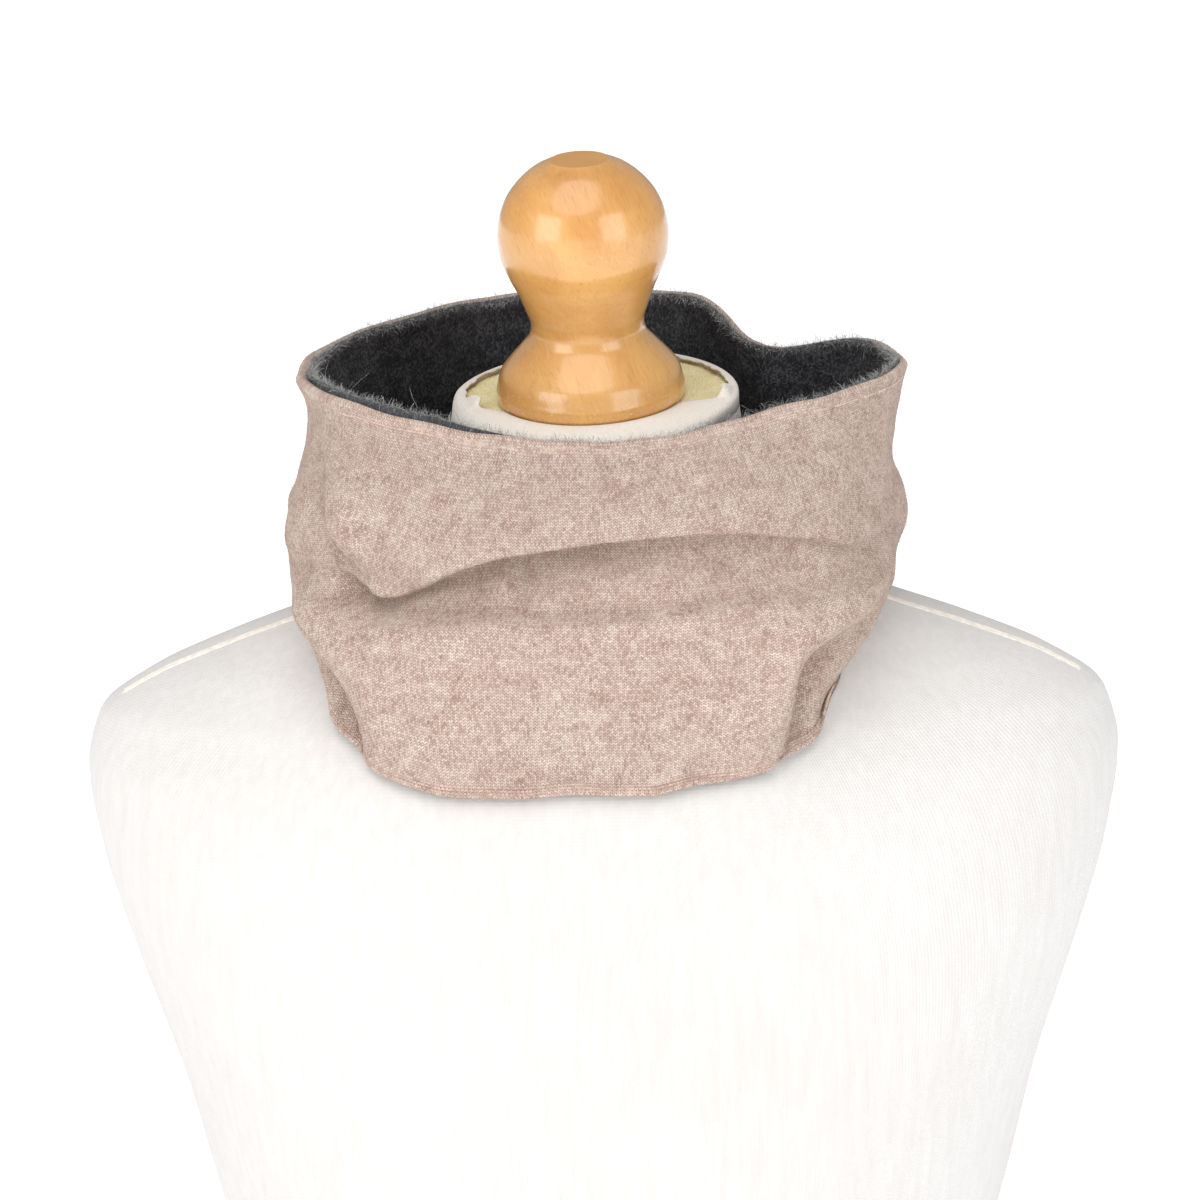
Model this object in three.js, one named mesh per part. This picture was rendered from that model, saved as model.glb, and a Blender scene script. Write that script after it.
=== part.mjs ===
import * as THREE from 'three';

// A short double-knit infinity scarf worn on a limbless dress form.
// Millimetres, +Z up, the wearer's front faces -Y, the base stands on z = 0.

// Cloth: two knitted tubes, one inside the other, joined at the rim and the hem.
const knitThickness = 2.0;
const seamGap = 0.3;
const clothThickness = 2 * knitThickness + seamGap;
const formClearance = 0.75;
const clothColumns = 60;
const clothRows = 22;
const shoulderHeight = 520;
const frontLength = 149;
const backLength = 131;
const sideLength = 98;
const girthPerDegree = 1.66;
const seatingPasses = 6;
const probeStep = 0.5;

// Dress form
const formColumns = 48;
const neckColumnTop = 556;
const neckLength = 46;
const neckTilt = THREE.MathUtils.degToRad(10);
const neckLean = THREE.MathUtils.degToRad(1.5);
const neckBase = { halfWidth: 60, halfDepth: 56.5, centreY: 1 };
const neckTop = { halfWidth: 54.7, halfDepth: 52.5 };
const neckRings = 5;
const neckShift = 0.8;
const coverRim = 1.6;
const foamThickness = 8;
const foamBelowRim = 1.2;

// Turned finial
const finialColumns = 26;
const finialOffset = { x: -1.4, y: 0.8 };

// Sections of the worn tube, from the rim (share 0) to the hem (share 1): how far it stands from the
// axis at the front, right, back and left, how high each of these lies above the shoulder line,
// how square the section is at front and back, and how level the edge runs there.
const tubeColumns = ['share', 'front', 'frontUp', 'right', 'rightUp', 'back', 'backUp', 'left', 'leftUp',
  'frontSquare', 'backSquare', 'frontLevel', 'backLevel'];
const tubeSections = [
  [0.00,  73,  74, 118,  90,  72, 110,  112,  92, 1.95, 2.5, 1.0, 2.3],
  [0.10,  79,  63, 117,  79,  76,  97,  111,  79, 2.1, 2.5, 1.0, 1.9],
  [0.20,  85,  53, 115,  69,  81,  83,  112,  67, 2.3, 2.4, 1.0, 1.5],
  [0.30,  89,  43, 114,  59,  86,  69,  116,  55, 2.5, 2.3, 1.0, 1.2],
  [0.40,  91,  34, 115,  49,  90,  55,  119,  44, 2.5, 2.3, 1.0, 1.0],
  [0.50,  93,  23, 115,  40,  93,  42,  118,  35, 2.6, 2.3, 1.1, 1.0],
  [0.60,  96,  11, 115,  33,  95,  29,  118,  28, 2.8, 2.3, 1.2, 1.0],
  [0.70,  98,  -3, 114,  27,  96,  17,  117,  22, 3.0, 2.3, 1.4, 1.0],
  [0.80,  98, -19, 110,  22,  96,   5,  116,  17, 3.3, 2.3, 1.8, 1.0],
  [0.90,  97, -37, 103,  18,  96,  -8,  113,  14, 3.6, 2.3, 2.4, 1.0],
  [1.00,  95, -54,  96,  14,  96, -21,  110,  11, 3.8, 2.3, 2.9, 1.0],
];

// Folds: each runs along a path on the cloth from one angle to another (0 right, 90 back, 180 left,
// 270 front), at a distance below the rim, bowed towards the hem. It has a width above and below the
// path, stands out by its depth (or sinks in), shifts up by its lift, and fades in and out.
const foldColumns = ['fromAngle', 'fromBelow', 'toAngle', 'toBelow', 'bow', 'above', 'below', 'depth', 'lift',
  'fadeIn', 'fadeOut'];
const foldTable = [
  // main crease round the front: the lip, then the valley under it
  [214, 69, 356, 70, -31, 24, 13, 3.4, -1.5, 0.25, 0.75],
  [212, 83, 356, 84, -31, 9, 15, -6.8, 1.5, 0.25, 0.85],
  // softer ridge below it
  [246, 90, 350, 82, -13, 9, 24, 3, 0, 0.35, 0.35],
  // pit and ridge at the front left
  [209, 50, 236, 70, 0, 10, 9, -6.5, 0, 0.45, 0.45],
  [218, 58, 198, 84, 0, 10, 9, 3, 0, 0.4, 0.5],
  // long upright crease under the left of the rim
  [190, 8, 219, 56, 2, 10, 8, 3.5, 0, 0.4, 0.4],
  // short upright crease
  [252, 58, 255, 84, 0, 6, 6, -1.5, 0, 0.4, 0.5],
  // low lip on the right and the pocket under it
  [384, 62, 310, 102, 2, 15, 11, 5, -1, 0.3, 0.25],
  [356, 82, 308, 120, 2, 9, 10, -6, 0, 0.4, 0.25],
  // hem carried up at the front right
  [294, 146, 350, 98, 0, 18, 30, 0, 9, 0.35, 0.35],
  // low lip on the left and the hollow under it
  [160, 64, 226, 96, 0, 15, 13, 2.6, -0.5, 0.35, 0.35],
  [184, 80, 229, 108, 0, 9, 10, -4.5, 0.5, 0.35, 0.35],
  // pinch in the rim at the back right
  [31, -40, 43, 105, 0, 25, 17, -22, -13, 0.35, 0.75],
  // slack on the right side and round the back
  [330, 44, 404, 58, 4, 16, 12, 3.5, -1, 0.35, 0.35],
  [52, 62, 120, 52, 7, 15, 12, 4, -1.5, 0.3, 0.4],
  [60, 76, 136, 66, 7, 10, 15, -4.5, 1, 0.35, 0.4],
  [110, 40, 172, 48, -5, 14, 12, 3, -1, 0.35, 0.35],
];

// Level sections of the form's torso: height, half width, depth to the front and to the back,
// and squareness.
const formColumnNames = ['height', 'half', 'front', 'back', 'square'];
const formSections = [
  [0, 156, 104, 108, 2.3],
  [60, 140, 97, 98, 2.3],
  [140, 126, 92, 86, 2.25],
  [220, 137, 103, 96, 2.3],
  [290, 156, 113, 109, 2.4],
  [340, 168, 115, 114, 2.5],
  [390, 184, 112, 115, 2.6],
  [430, 196, 105, 112, 2.5],
  [462, 201, 94, 106, 2.3],
  [482, 196, 83, 100, 2.05],
  [497, 176, 74, 93, 1.88],
  [510, 146, 67, 84, 1.8],
  [522, 112, 61, 75, 1.82],
  [534, 84, 57, 66, 1.95],
  [546, 67, 55, 60, 2.0],
  [560, 60, 54, 57, 2.0],
];
const formRingHeights = [0, 12, 45, 90, 140, 185, 230, 275, 310, 340, 366, 390, 414, 434, 450, 462, 472, 481, 489, 497,
  504, 510, 516, 522, 528, 535, 543, 552];

// Finial outline from its foot to its crown: radius and height.
const finialOutline = [
  [35.2, 0], [36.3, 1.4], [36.3, 4.8], [35.8, 6.7], [34.5, 11.2], [30.3, 16.7], [26.2, 21.2], [22.6, 25.8],
  [21.7, 29.1], [21.9, 32.0], [23.2, 35.8], [26.1, 43.6], [29.8, 51.6], [32.0, 58.3], [32.6, 65.0],
  [31.8, 71.6], [29.0, 79.3], [24.0, 86.0], [18.0, 91.0], [11.4, 94.2],
];

// A smooth curve through table rows that never overshoots them.
function smoothCurve(xs, ys) {
  const last = xs.length - 1;
  const steps = [];
  const rises = [];
  for (let i = 0; i < last; i++) {
    steps.push(xs[i + 1] - xs[i]);
    rises.push((ys[i + 1] - ys[i]) / steps[i]);
  }
  const slopes = [rises[0]];
  for (let i = 1; i < last; i++) {
    const before = 2 * steps[i] + steps[i - 1];
    const after = steps[i] + 2 * steps[i - 1];
    const turns = rises[i - 1] * rises[i] <= 0;
    slopes.push(turns ? 0 : (before + after) / (before / rises[i - 1] + after / rises[i]));
  }
  slopes.push(rises[last - 1]);
  return (x) => {
    const at = Math.min(Math.max(x, xs[0]), xs[last]);
    let i = 0;
    while (i < last - 1 && at >= xs[i + 1]) i++;
    const s = (at - xs[i]) / steps[i];
    const s2 = s * s;
    const s3 = s2 * s;
    return (2 * s3 - 3 * s2 + 1) * ys[i] + (s3 - 2 * s2 + s) * steps[i] * slopes[i]
      + (3 * s2 - 2 * s3) * ys[i + 1] + (s3 - s2) * steps[i] * slopes[i + 1];
  };
}

function tableCurves(names, rows) {
  const positions = rows.map((row) => row[0]);
  return Object.fromEntries(names.map((name, k) => [name, smoothCurve(positions, rows.map((row) => row[k]))]));
}

const tube = tableCurves(tubeColumns, tubeSections);
const torso = tableCurves(formColumnNames, formSections);
const folds = foldTable.map((row) => Object.fromEntries(foldColumns.map((name, k) => [name, row[k]])));

function smoothStep(x) {
  const s = Math.min(Math.max(x, 0), 1);
  return s * s * (3 - 2 * s);
}

function torsoRadius(height, angle) {
  const square = torso.square(height);
  const depth = Math.sin(angle) >= 0 ? torso.back(height) : torso.front(height);
  const across = Math.abs(Math.cos(angle)) / torso.half(height);
  const along = Math.abs(Math.sin(angle)) / depth;
  return (across ** square + along ** square) ** (-1 / square);
}

function outsideTorso(x, y, z) {
  return Math.hypot(x, y) - torsoRadius(z, Math.atan2(y, x));
}

// Distance from the torso and the direction away from it.
function awayFromTorso(point) {
  const { x, y, z } = point;
  const e = probeStep;
  const slope = new THREE.Vector3(
    outsideTorso(x + e, y, z) - outsideTorso(x - e, y, z),
    outsideTorso(x, y + e, z) - outsideTorso(x, y - e, z),
    outsideTorso(x, y, z + e) - outsideTorso(x, y, z - e),
  ).divideScalar(2 * e);
  const steepness = slope.length();
  return { distance: outsideTorso(x, y, z) / steepness, direction: slope.divideScalar(steepness) };
}

// Length of the cloth from rim to hem at an angle.
function lengthDown(angle) {
  const share = Math.abs(Math.sin(angle)) ** 3;
  const full = Math.sin(angle) < 0 ? frontLength : backLength;
  return sideLength + (full - sideLength) * share;
}

// How far all folds together push a place of the cloth outwards and up.
function foldShift(angle, share) {
  const degrees = THREE.MathUtils.radToDeg(angle);
  const down = share * lengthDown(angle);
  let out = 0;
  let up = 0;
  for (const f of folds) {
    const middle = (f.fromAngle + f.toAngle) / 2;
    const round = ((degrees - middle + 180) % 360 + 360) % 360 - 180;
    const start = (f.fromAngle - middle) * girthPerDegree;
    const runX = (f.toAngle - f.fromAngle) * girthPerDegree;
    const runY = f.toBelow - f.fromBelow;
    const run = Math.hypot(runX, runY);
    const dx = round * girthPerDegree - start;
    const dy = down - f.fromBelow;
    const along = (dx * runX + dy * runY) / (run * run);
    const facing = runX >= 0 ? 1 : -1;
    const bowed = f.bow * 4 * along * (1 - along);
    const tilt = f.bow * 4 * (1 - 2 * Math.min(Math.max(along, 0), 1)) / run;
    const off = (facing * (dy * runX - dx * runY) / run - bowed) / Math.hypot(1, tilt);
    const width = off < 0 ? f.above : f.below;
    const fade = smoothStep(along / f.fadeIn) * smoothStep((1 - along) / f.fadeOut);
    const strength = Math.exp(-((off / width) ** 2)) * fade;
    out += f.depth * strength;
    up += f.lift * strength;
  }
  return { out, up };
}

function tubePoint(angle, share) {
  const c = Math.cos(angle);
  const s = Math.sin(angle);
  const side = c >= 0 ? tube.right(share) : tube.left(share);
  const sideUp = c >= 0 ? tube.rightUp(share) : tube.leftUp(share);
  const end = s >= 0 ? tube.back(share) : tube.front(share);
  const endUp = s >= 0 ? tube.backUp(share) : tube.frontUp(share);
  const square = s >= 0 ? tube.backSquare(share) : tube.frontSquare(share);
  const level = s >= 0 ? tube.backLevel(share) : tube.frontLevel(share);
  const radius = ((Math.abs(c) / side) ** square + (Math.abs(s) / end) ** square) ** (-1 / square);
  const toSide = Math.abs(c) ** (2 * level);
  const fold = foldShift(angle, share);
  const r = radius + fold.out;
  return new THREE.Vector3(r * c, r * s, shoulderHeight + toSide * sideUp + (1 - toSide) * endUp + fold.up);
}

// Outward normals of a grid whose rows run down and whose columns run anticlockwise round.
function gridNormals(grid) {
  const rows = grid.length;
  const columns = grid[0].length;
  return grid.map((row, i) => row.map((point, j) => {
    const round = row[(j + 1) % columns].clone().sub(row[(j + columns - 1) % columns]);
    const down = grid[Math.min(i + 1, rows - 1)][j].clone().sub(grid[Math.max(i - 1, 0)][j]);
    return down.cross(round).normalize();
  }));
}

function offsetGrid(grid, normals, distance) {
  return grid.map((row, i) => row.map((point, j) => point.clone().addScaledVector(normals[i][j], -distance)));
}

// Outer face of the scarf, moved out wherever the wall would come too near the torso.
function scarfFace() {
  const grid = [];
  for (let i = 0; i <= clothRows; i++) {
    const row = [];
    for (let j = 0; j < clothColumns; j++) {
      row.push(tubePoint(2 * Math.PI * j / clothColumns, i / clothRows));
    }
    grid.push(row);
  }
  for (let pass = 0; pass < seatingPasses; pass++) {
    const normals = gridNormals(grid);
    grid.forEach((row, i) => row.forEach((point, j) => {
      let need = 0;
      let direction = null;
      for (const depth of [0, clothThickness]) {
        const place = point.clone().addScaledVector(normals[i][j], -depth);
        const torsoSide = awayFromTorso(place);
        const short = formClearance - torsoSide.distance;
        if (point.z < neckColumnTop && short > need) {
          need = short;
          direction = torsoSide.direction;
        }
      }
      if (direction) point.addScaledVector(direction, need);
    }));
  }
  return grid;
}

// A point on the outside of the neck, from its foot (share 0) to its top rim (share 1).
function neckPoint(share, angle) {
  const halfWidth = neckBase.halfWidth + (neckTop.halfWidth - neckBase.halfWidth) * share;
  const halfDepth = neckBase.halfDepth + (neckTop.halfDepth - neckBase.halfDepth) * share;
  return neckPlace(share, halfWidth * Math.cos(angle), halfDepth * Math.sin(angle), 0);
}

// A place on the tilted section of the neck, across, to the back and above that section.
function neckPlace(share, across, along, above) {
  const tilt = neckTilt * share;
  const lean = neckLean * share;
  return new THREE.Vector3(
    across * Math.cos(lean) - above * Math.sin(lean),
    neckBase.centreY - Math.sin(neckTilt) * neckLength * share * neckShift
      + along * Math.cos(tilt) - above * Math.sin(tilt),
    neckColumnTop + neckLength * share + along * Math.sin(tilt) + across * Math.sin(lean)
      + above * Math.cos(tilt),
  );
}

// A closed body from rings that run from its underside to its top, or round a wall and back. From the
// ring at turnBack on, the squares are split along their other diagonal.
function ringBody(rings, capped, turnBack = rings.length) {
  const columns = rings[0].length;
  const positions = [];
  const faces = [];
  rings.forEach((ring) => ring.forEach((p) => positions.push(p.x, p.y, p.z)));
  const spans = capped ? rings.length - 1 : rings.length;
  for (let i = 0; i < spans; i++) {
    const low = i * columns;
    const high = ((i + 1) % rings.length) * columns;
    for (let j = 0; j < columns; j++) {
      const k = (j + 1) % columns;
      if (i < turnBack) faces.push(low + j, low + k, high + k, low + j, high + k, high + j);
      else faces.push(low + j, low + k, high + j, low + k, high + k, high + j);
    }
  }
  if (capped) {
    for (const [ring, upward] of [[0, false], [rings.length - 1, true]]) {
      const centre = rings[ring].reduce((sum, p) => sum.add(p), new THREE.Vector3()).divideScalar(columns);
      const tip = positions.length / 3;
      positions.push(centre.x, centre.y, centre.z);
      for (let j = 0; j < columns; j++) {
        const a = ring * columns + j;
        const b = ring * columns + (j + 1) % columns;
        faces.push(...(upward ? [a, b, tip] : [b, a, tip]));
      }
    }
  }
  const geometry = new THREE.BufferGeometry();
  geometry.setAttribute('position', new THREE.Float32BufferAttribute(positions, 3));
  geometry.setIndex(faces);
  geometry.computeVertexNormals();
  return geometry;
}

// A wall between an outer and an inner grid, both given from the rim down. Its two faces are split the
// same way, so that they stay the same distance apart.
function wallBody(outer, inner) {
  return ringBody([...inner, ...outer.slice().reverse()], false, inner.length);
}

function piece(name, geometry, color, roughness) {
  const mesh = new THREE.Mesh(geometry, new THREE.MeshStandardMaterial({ color, roughness, metalness: 0 }));
  mesh.name = name;
  return mesh;
}

function anglesRound(columns) {
  return Array.from({ length: columns }, (_, j) => 2 * Math.PI * j / columns);
}

const group = new THREE.Group();
group.name = 'infinity_scarf_on_form';

// The two knitted tubes
const face = scarfFace();
const faceNormals = gridNormals(face);
const outerBack = offsetGrid(face, faceNormals, knitThickness);
const liningFace = offsetGrid(face, faceNormals, knitThickness + seamGap);
const liningBack = offsetGrid(face, faceNormals, clothThickness);
group.add(piece('outer_tube', wallBody(face, outerBack), '#bfa594', 0.95));
group.add(piece('lining_tube', wallBody(liningFace, liningBack), '#3b3c40', 0.95));

// The form's torso and neck, with a shallow recess in the top of the neck for the foam
const formAngles = anglesRound(formColumns);
const torsoRings = formRingHeights.map((height) => formAngles.map((angle) => {
  const r = torsoRadius(height, angle);
  return new THREE.Vector3(r * Math.cos(angle), r * Math.sin(angle), height);
}));
const neckRingSet = Array.from({ length: neckRings }, (_, i) => (
  formAngles.map((angle) => neckPoint((i + 1) / neckRings, angle))
));
const recessDepth = foamThickness + foamBelowRim;
const recessRings = [0, -recessDepth].map((above) => formAngles.map((angle) => neckPlace(
  1,
  (neckTop.halfWidth - coverRim) * Math.cos(angle),
  (neckTop.halfDepth - coverRim) * Math.sin(angle),
  above,
)));
group.add(piece('form_body', ringBody([...torsoRings, ...neckRingSet, ...recessRings], true), '#ece7e0', 0.85));

// Foam disc in the recess
const foamInset = coverRim + seamGap;
const foamRings = [-recessDepth + seamGap, -foamBelowRim].map((above) => formAngles.map((angle) => neckPlace(
  1,
  (neckTop.halfWidth - foamInset) * Math.cos(angle),
  (neckTop.halfDepth - foamInset) * Math.sin(angle),
  above,
)));
group.add(piece('neck_foam', ringBody(foamRings, true), '#e9e3b8', 0.9));

// Turned wooden finial standing on the foam
const finialAngles = anglesRound(finialColumns);
const finialFoot = seamGap - foamBelowRim;
const finialRings = finialOutline.map(([radius, height]) => finialAngles.map((angle) => neckPlace(
  1,
  finialOffset.x + radius * Math.cos(angle),
  finialOffset.y + radius * Math.sin(angle),
  finialFoot + height,
)));
group.add(piece('finial', ringBody(finialRings, true), '#d9974e', 0.35));

export default group;
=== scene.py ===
import math

import bmesh
import bpy
import numpy as np
from mathutils import Matrix, Vector


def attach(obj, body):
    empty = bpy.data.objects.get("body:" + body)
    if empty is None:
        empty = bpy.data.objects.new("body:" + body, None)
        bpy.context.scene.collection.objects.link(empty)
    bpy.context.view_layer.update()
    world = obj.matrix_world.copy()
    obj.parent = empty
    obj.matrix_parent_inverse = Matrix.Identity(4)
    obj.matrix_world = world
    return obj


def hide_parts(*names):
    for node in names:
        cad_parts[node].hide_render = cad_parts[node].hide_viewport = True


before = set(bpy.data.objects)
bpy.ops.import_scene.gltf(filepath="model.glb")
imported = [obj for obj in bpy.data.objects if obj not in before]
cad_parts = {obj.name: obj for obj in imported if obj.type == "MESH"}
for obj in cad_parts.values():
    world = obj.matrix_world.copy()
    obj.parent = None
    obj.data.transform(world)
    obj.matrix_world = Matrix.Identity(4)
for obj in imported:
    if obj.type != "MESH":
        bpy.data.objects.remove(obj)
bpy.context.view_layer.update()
print("frame loaded")

mm = 0.001


def tint(red, green, blue):
    # screen values 0 to 255 into the linear colour that shaders want
    def one(value):
        value = value / 255
        return value / 12.92 if value <= 0.04045 else ((value + 0.055) / 1.055) ** 2.4
    return (one(red), one(green), one(blue), 1)


def smoothCurve(xs, ys, at):
    # passes through the rows of a table and never overshoots them
    xs, ys = np.asarray(xs, float), np.asarray(ys, float)
    at = np.clip(at, xs[0], xs[-1])
    steps = np.diff(xs)
    rises = np.diff(ys) / steps
    slopes = np.zeros_like(ys)
    for i in range(1, len(xs) - 1):
        if rises[i - 1] * rises[i] > 0:
            before, after = 2 * steps[i] + steps[i - 1], steps[i] + 2 * steps[i - 1]
            slopes[i] = (before + after) / (before / rises[i - 1] + after / rises[i])
    slopes[0], slopes[-1] = rises[0], rises[-1]
    i = np.clip(np.searchsorted(xs, at, side="right") - 1, 0, len(xs) - 2)
    s = (at - xs[i]) / steps[i]
    return ((2 * s**3 - 3 * s**2 + 1) * ys[i] + (s**3 - 2 * s**2 + s) * steps[i] * slopes[i]
            + (3 * s**2 - 2 * s**3) * ys[i + 1] + (s**3 - s**2) * steps[i] * slopes[i + 1])


def smoothStep(x):
    x = np.clip(x, 0, 1)
    return x * x * (3 - 2 * x)


def meshPiece(name, points, faces, uvs=None, material=None):
    # points in millimetres; uvs are given for each corner of each face
    mesh = bpy.data.meshes.new(name)
    mesh.from_pydata((np.asarray(points) * mm).tolist(), [], [list(map(int, face)) for face in faces])
    if uvs is not None:
        layer = mesh.uv_layers.new(name="knitMap")
        layer.data.foreach_set("uv", np.asarray(uvs, np.float32).ravel())
    mesh.polygons.foreach_set("use_smooth", [True] * len(mesh.polygons))
    if material:
        mesh.materials.append(material)
    mesh.update()
    piece = bpy.data.objects.new(name, mesh)
    bpy.context.scene.collection.objects.link(piece)
    return piece


def ringFaces(rings, columns, closed=False):
    # squares between rings of equal count, with the corners' ring and column numbers
    i = np.arange(rings if closed else rings - 1)
    j = np.arange(columns)
    low, col = np.meshgrid(i, j, indexing="ij")
    high = (low + 1) % rings
    nextCol = (col + 1) % columns
    faces = np.stack([low * columns + col, low * columns + nextCol,
                      high * columns + nextCol, high * columns + col], -1).reshape(-1, 4)
    return faces, low.ravel(), col.ravel()


def facedOut(points, faces, uvs):
    # a closed skin of squares, turned round if its faces point inwards
    a, b, c, d = (points[faces[:, k]] for k in range(4))
    volume = (np.einsum("ij,ij->i", a, np.cross(b, c)).sum()
              + np.einsum("ij,ij->i", a, np.cross(c, d)).sum()) / 6
    return (faces[:, ::-1], uvs[:, ::-1]) if volume < 0 else (faces, uvs)


formSettings = {
    "columns": 160,
    "clearance": 0.75,
    "neckColumnTop": 556,
    "neckLength": 46,
    "neckTilt": math.radians(10),
    "neckLean": math.radians(1.5),
    "neckShift": 0.8,
    "neckCentreY": 1,
    "neckBase": (60, 56.5),
    "neckTop": (54.7, 52.5),
    "coverRim": 1.6,
    "foamThickness": 8,
    "foamBelowRim": 1.2,
    "seamGap": 0.3,
}
# height, half width, depth to the front, depth to the back, squareness
formSections = np.array([
    [0, 156, 104, 108, 2.3], [60, 140, 97, 98, 2.3], [140, 126, 92, 86, 2.25], [220, 137, 103, 96, 2.3],
    [290, 156, 113, 109, 2.4], [340, 168, 115, 114, 2.5], [390, 184, 112, 115, 2.6], [430, 196, 105, 112, 2.5],
    [462, 201, 94, 106, 2.3], [482, 196, 83, 100, 2.05], [497, 176, 74, 93, 1.88], [510, 146, 67, 84, 1.8],
    [522, 112, 61, 75, 1.82], [534, 84, 57, 66, 1.95], [546, 67, 55, 60, 2.0], [560, 60, 54, 57, 2.0],
])


def torsoRadius(height, angle):
    half, front, back, square = (
        smoothCurve(formSections[:, 0], formSections[:, k], height) for k in range(1, 5))
    depth = np.where(np.sin(angle) >= 0, back, front)
    across, along = np.abs(np.cos(angle)) / half, np.abs(np.sin(angle)) / depth
    return (across**square + along**square) ** (-1 / square)


def outsideTorso(points):
    x, y, z = points[..., 0], points[..., 1], points[..., 2]
    return np.hypot(x, y) - torsoRadius(z, np.arctan2(y, x))


def awayFromTorso(points):
    step = 0.5
    slope = np.stack([(outsideTorso(points + step * axis) - outsideTorso(points - step * axis)) / (2 * step)
                      for axis in np.eye(3)], -1)
    steepness = np.linalg.norm(slope, axis=-1, keepdims=True)
    return outsideTorso(points) / steepness[..., 0], slope / steepness


def torsoTop(x, y):
    # height at which the torso's upper side lies under a place
    low, high = np.full_like(x, 455.0), np.full_like(x, 559.0)
    for _ in range(40):
        middle = (low + high) / 2
        inside = torsoRadius(middle, np.arctan2(y, x)) > np.hypot(x, y)
        low, high = np.where(inside, middle, low), np.where(inside, high, middle)
    return (low + high) / 2


def neckPlace(share, across, along, above):
    s = formSettings
    tilt, lean = s["neckTilt"] * share, s["neckLean"] * share
    across, along, above = np.broadcast_arrays(np.asarray(across, float), np.asarray(along, float),
                                               np.asarray(above, float))
    return np.stack([
        across * np.cos(lean) - above * np.sin(lean),
        s["neckCentreY"] - math.sin(s["neckTilt"]) * s["neckLength"] * share * s["neckShift"]
        + along * np.cos(tilt) - above * np.sin(tilt),
        s["neckColumnTop"] + s["neckLength"] * share + along * np.sin(tilt) + across * np.sin(lean)
        + above * np.cos(tilt),
    ], -1)


clothSettings = {
    "columns": 400,
    "rows": 116,
    "shoulderHeight": 520,
    "frontLength": 149,
    "backLength": 131,
    "sideLength": 98,
    "girthPerDegree": 1.66,
    "wholeThickness": 4.3,
    "outerThickness": 1.5,
    "liningStart": 1.9,
    "liningThickness": 1.5,
    "wales": 492,
    "courses": 138,
}
# share from rim to hem, then reach and height at front, right, back and left, squareness, how level
tubeSections = np.array([
    [0.00, 73, 74, 118, 90, 72, 110, 112, 92, 1.95, 2.5, 1.0, 2.3],
    [0.10, 79, 63, 117, 79, 76, 97, 111, 79, 2.1, 2.5, 1.0, 1.9],
    [0.20, 85, 53, 115, 69, 81, 83, 112, 67, 2.3, 2.4, 1.0, 1.5],
    [0.30, 89, 43, 114, 59, 86, 69, 116, 55, 2.5, 2.3, 1.0, 1.2],
    [0.40, 91, 34, 115, 49, 90, 55, 119, 44, 2.5, 2.3, 1.0, 1.0],
    [0.50, 93, 23, 115, 40, 93, 42, 118, 35, 2.6, 2.3, 1.1, 1.0],
    [0.60, 96, 11, 115, 33, 95, 29, 118, 28, 2.8, 2.3, 1.2, 1.0],
    [0.70, 98, -3, 114, 27, 96, 17, 117, 22, 3.0, 2.3, 1.4, 1.0],
    [0.80, 98, -19, 110, 22, 96, 5, 116, 17, 3.3, 2.3, 1.8, 1.0],
    [0.90, 97, -37, 103, 18, 96, -8, 113, 14, 3.6, 2.3, 2.4, 1.0],
    [1.00, 95, -54, 96, 14, 96, -21, 110, 11, 3.8, 2.3, 2.9, 1.0],
])
# from angle, below rim, to angle, below rim, bow, width above, width below, depth, lift, fade in, fade out
mainFolds = [
    (214, 69, 356, 70, -31, 24, 13, 3.4, -1.5, .25, .75),    # lip of the main crease
    (212, 83, 356, 84, -31, 9, 17, -9, 1.5, .25, .85),       # its valley
    (246, 90, 350, 82, -13, 9, 24, 3, 0, .35, .35),          # softer ridge below
    (209, 50, 236, 70, 0, 10, 9, -6.5, 0, .45, .45),         # pit at the front left
    (218, 58, 198, 84, 0, 10, 9, 3, 0, .4, .5),              # ridge beside the pit
    (190, 8, 219, 56, 2, 10, 8, 3.5, 0, .4, .4),             # long upright crease
    (252, 58, 255, 84, 0, 6, 6, -1.5, 0, .4, .5),            # short upright crease
    (384, 58, 310, 98, 2, 15, 12, 4.5, -1, .3, .25),         # low lip on the right
    (360, 71, 308, 110, 2, 11, 14, -8, 0, .35, .25),         # pocket under it
    (294, 146, 350, 98, 0, 18, 30, 0, 9, .35, .35),          # hem carried up at the front right
    (160, 64, 226, 96, 0, 15, 13, 2.6, -.5, .35, .35),       # low lip on the left
    (184, 80, 229, 108, 0, 9, 10, -4.5, .5, .35, .35),       # hollow under it
    (31, -40, 43, 105, 0, 25, 17, -22, -13, .35, .75),       # pinch in the rim at the back right
    (330, 44, 404, 58, 4, 16, 12, 3.5, -1, .35, .35),        # slack on the right
    (52, 62, 120, 52, 7, 15, 12, 4, -1.5, .3, .4),           # slack ridge at the back
    (60, 76, 136, 66, 7, 10, 15, -4.5, 1, .35, .4),          # valley under it
    (110, 40, 172, 48, -5, 14, 12, 3, -1, .35, .35),         # ridge at the back left
]
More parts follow.
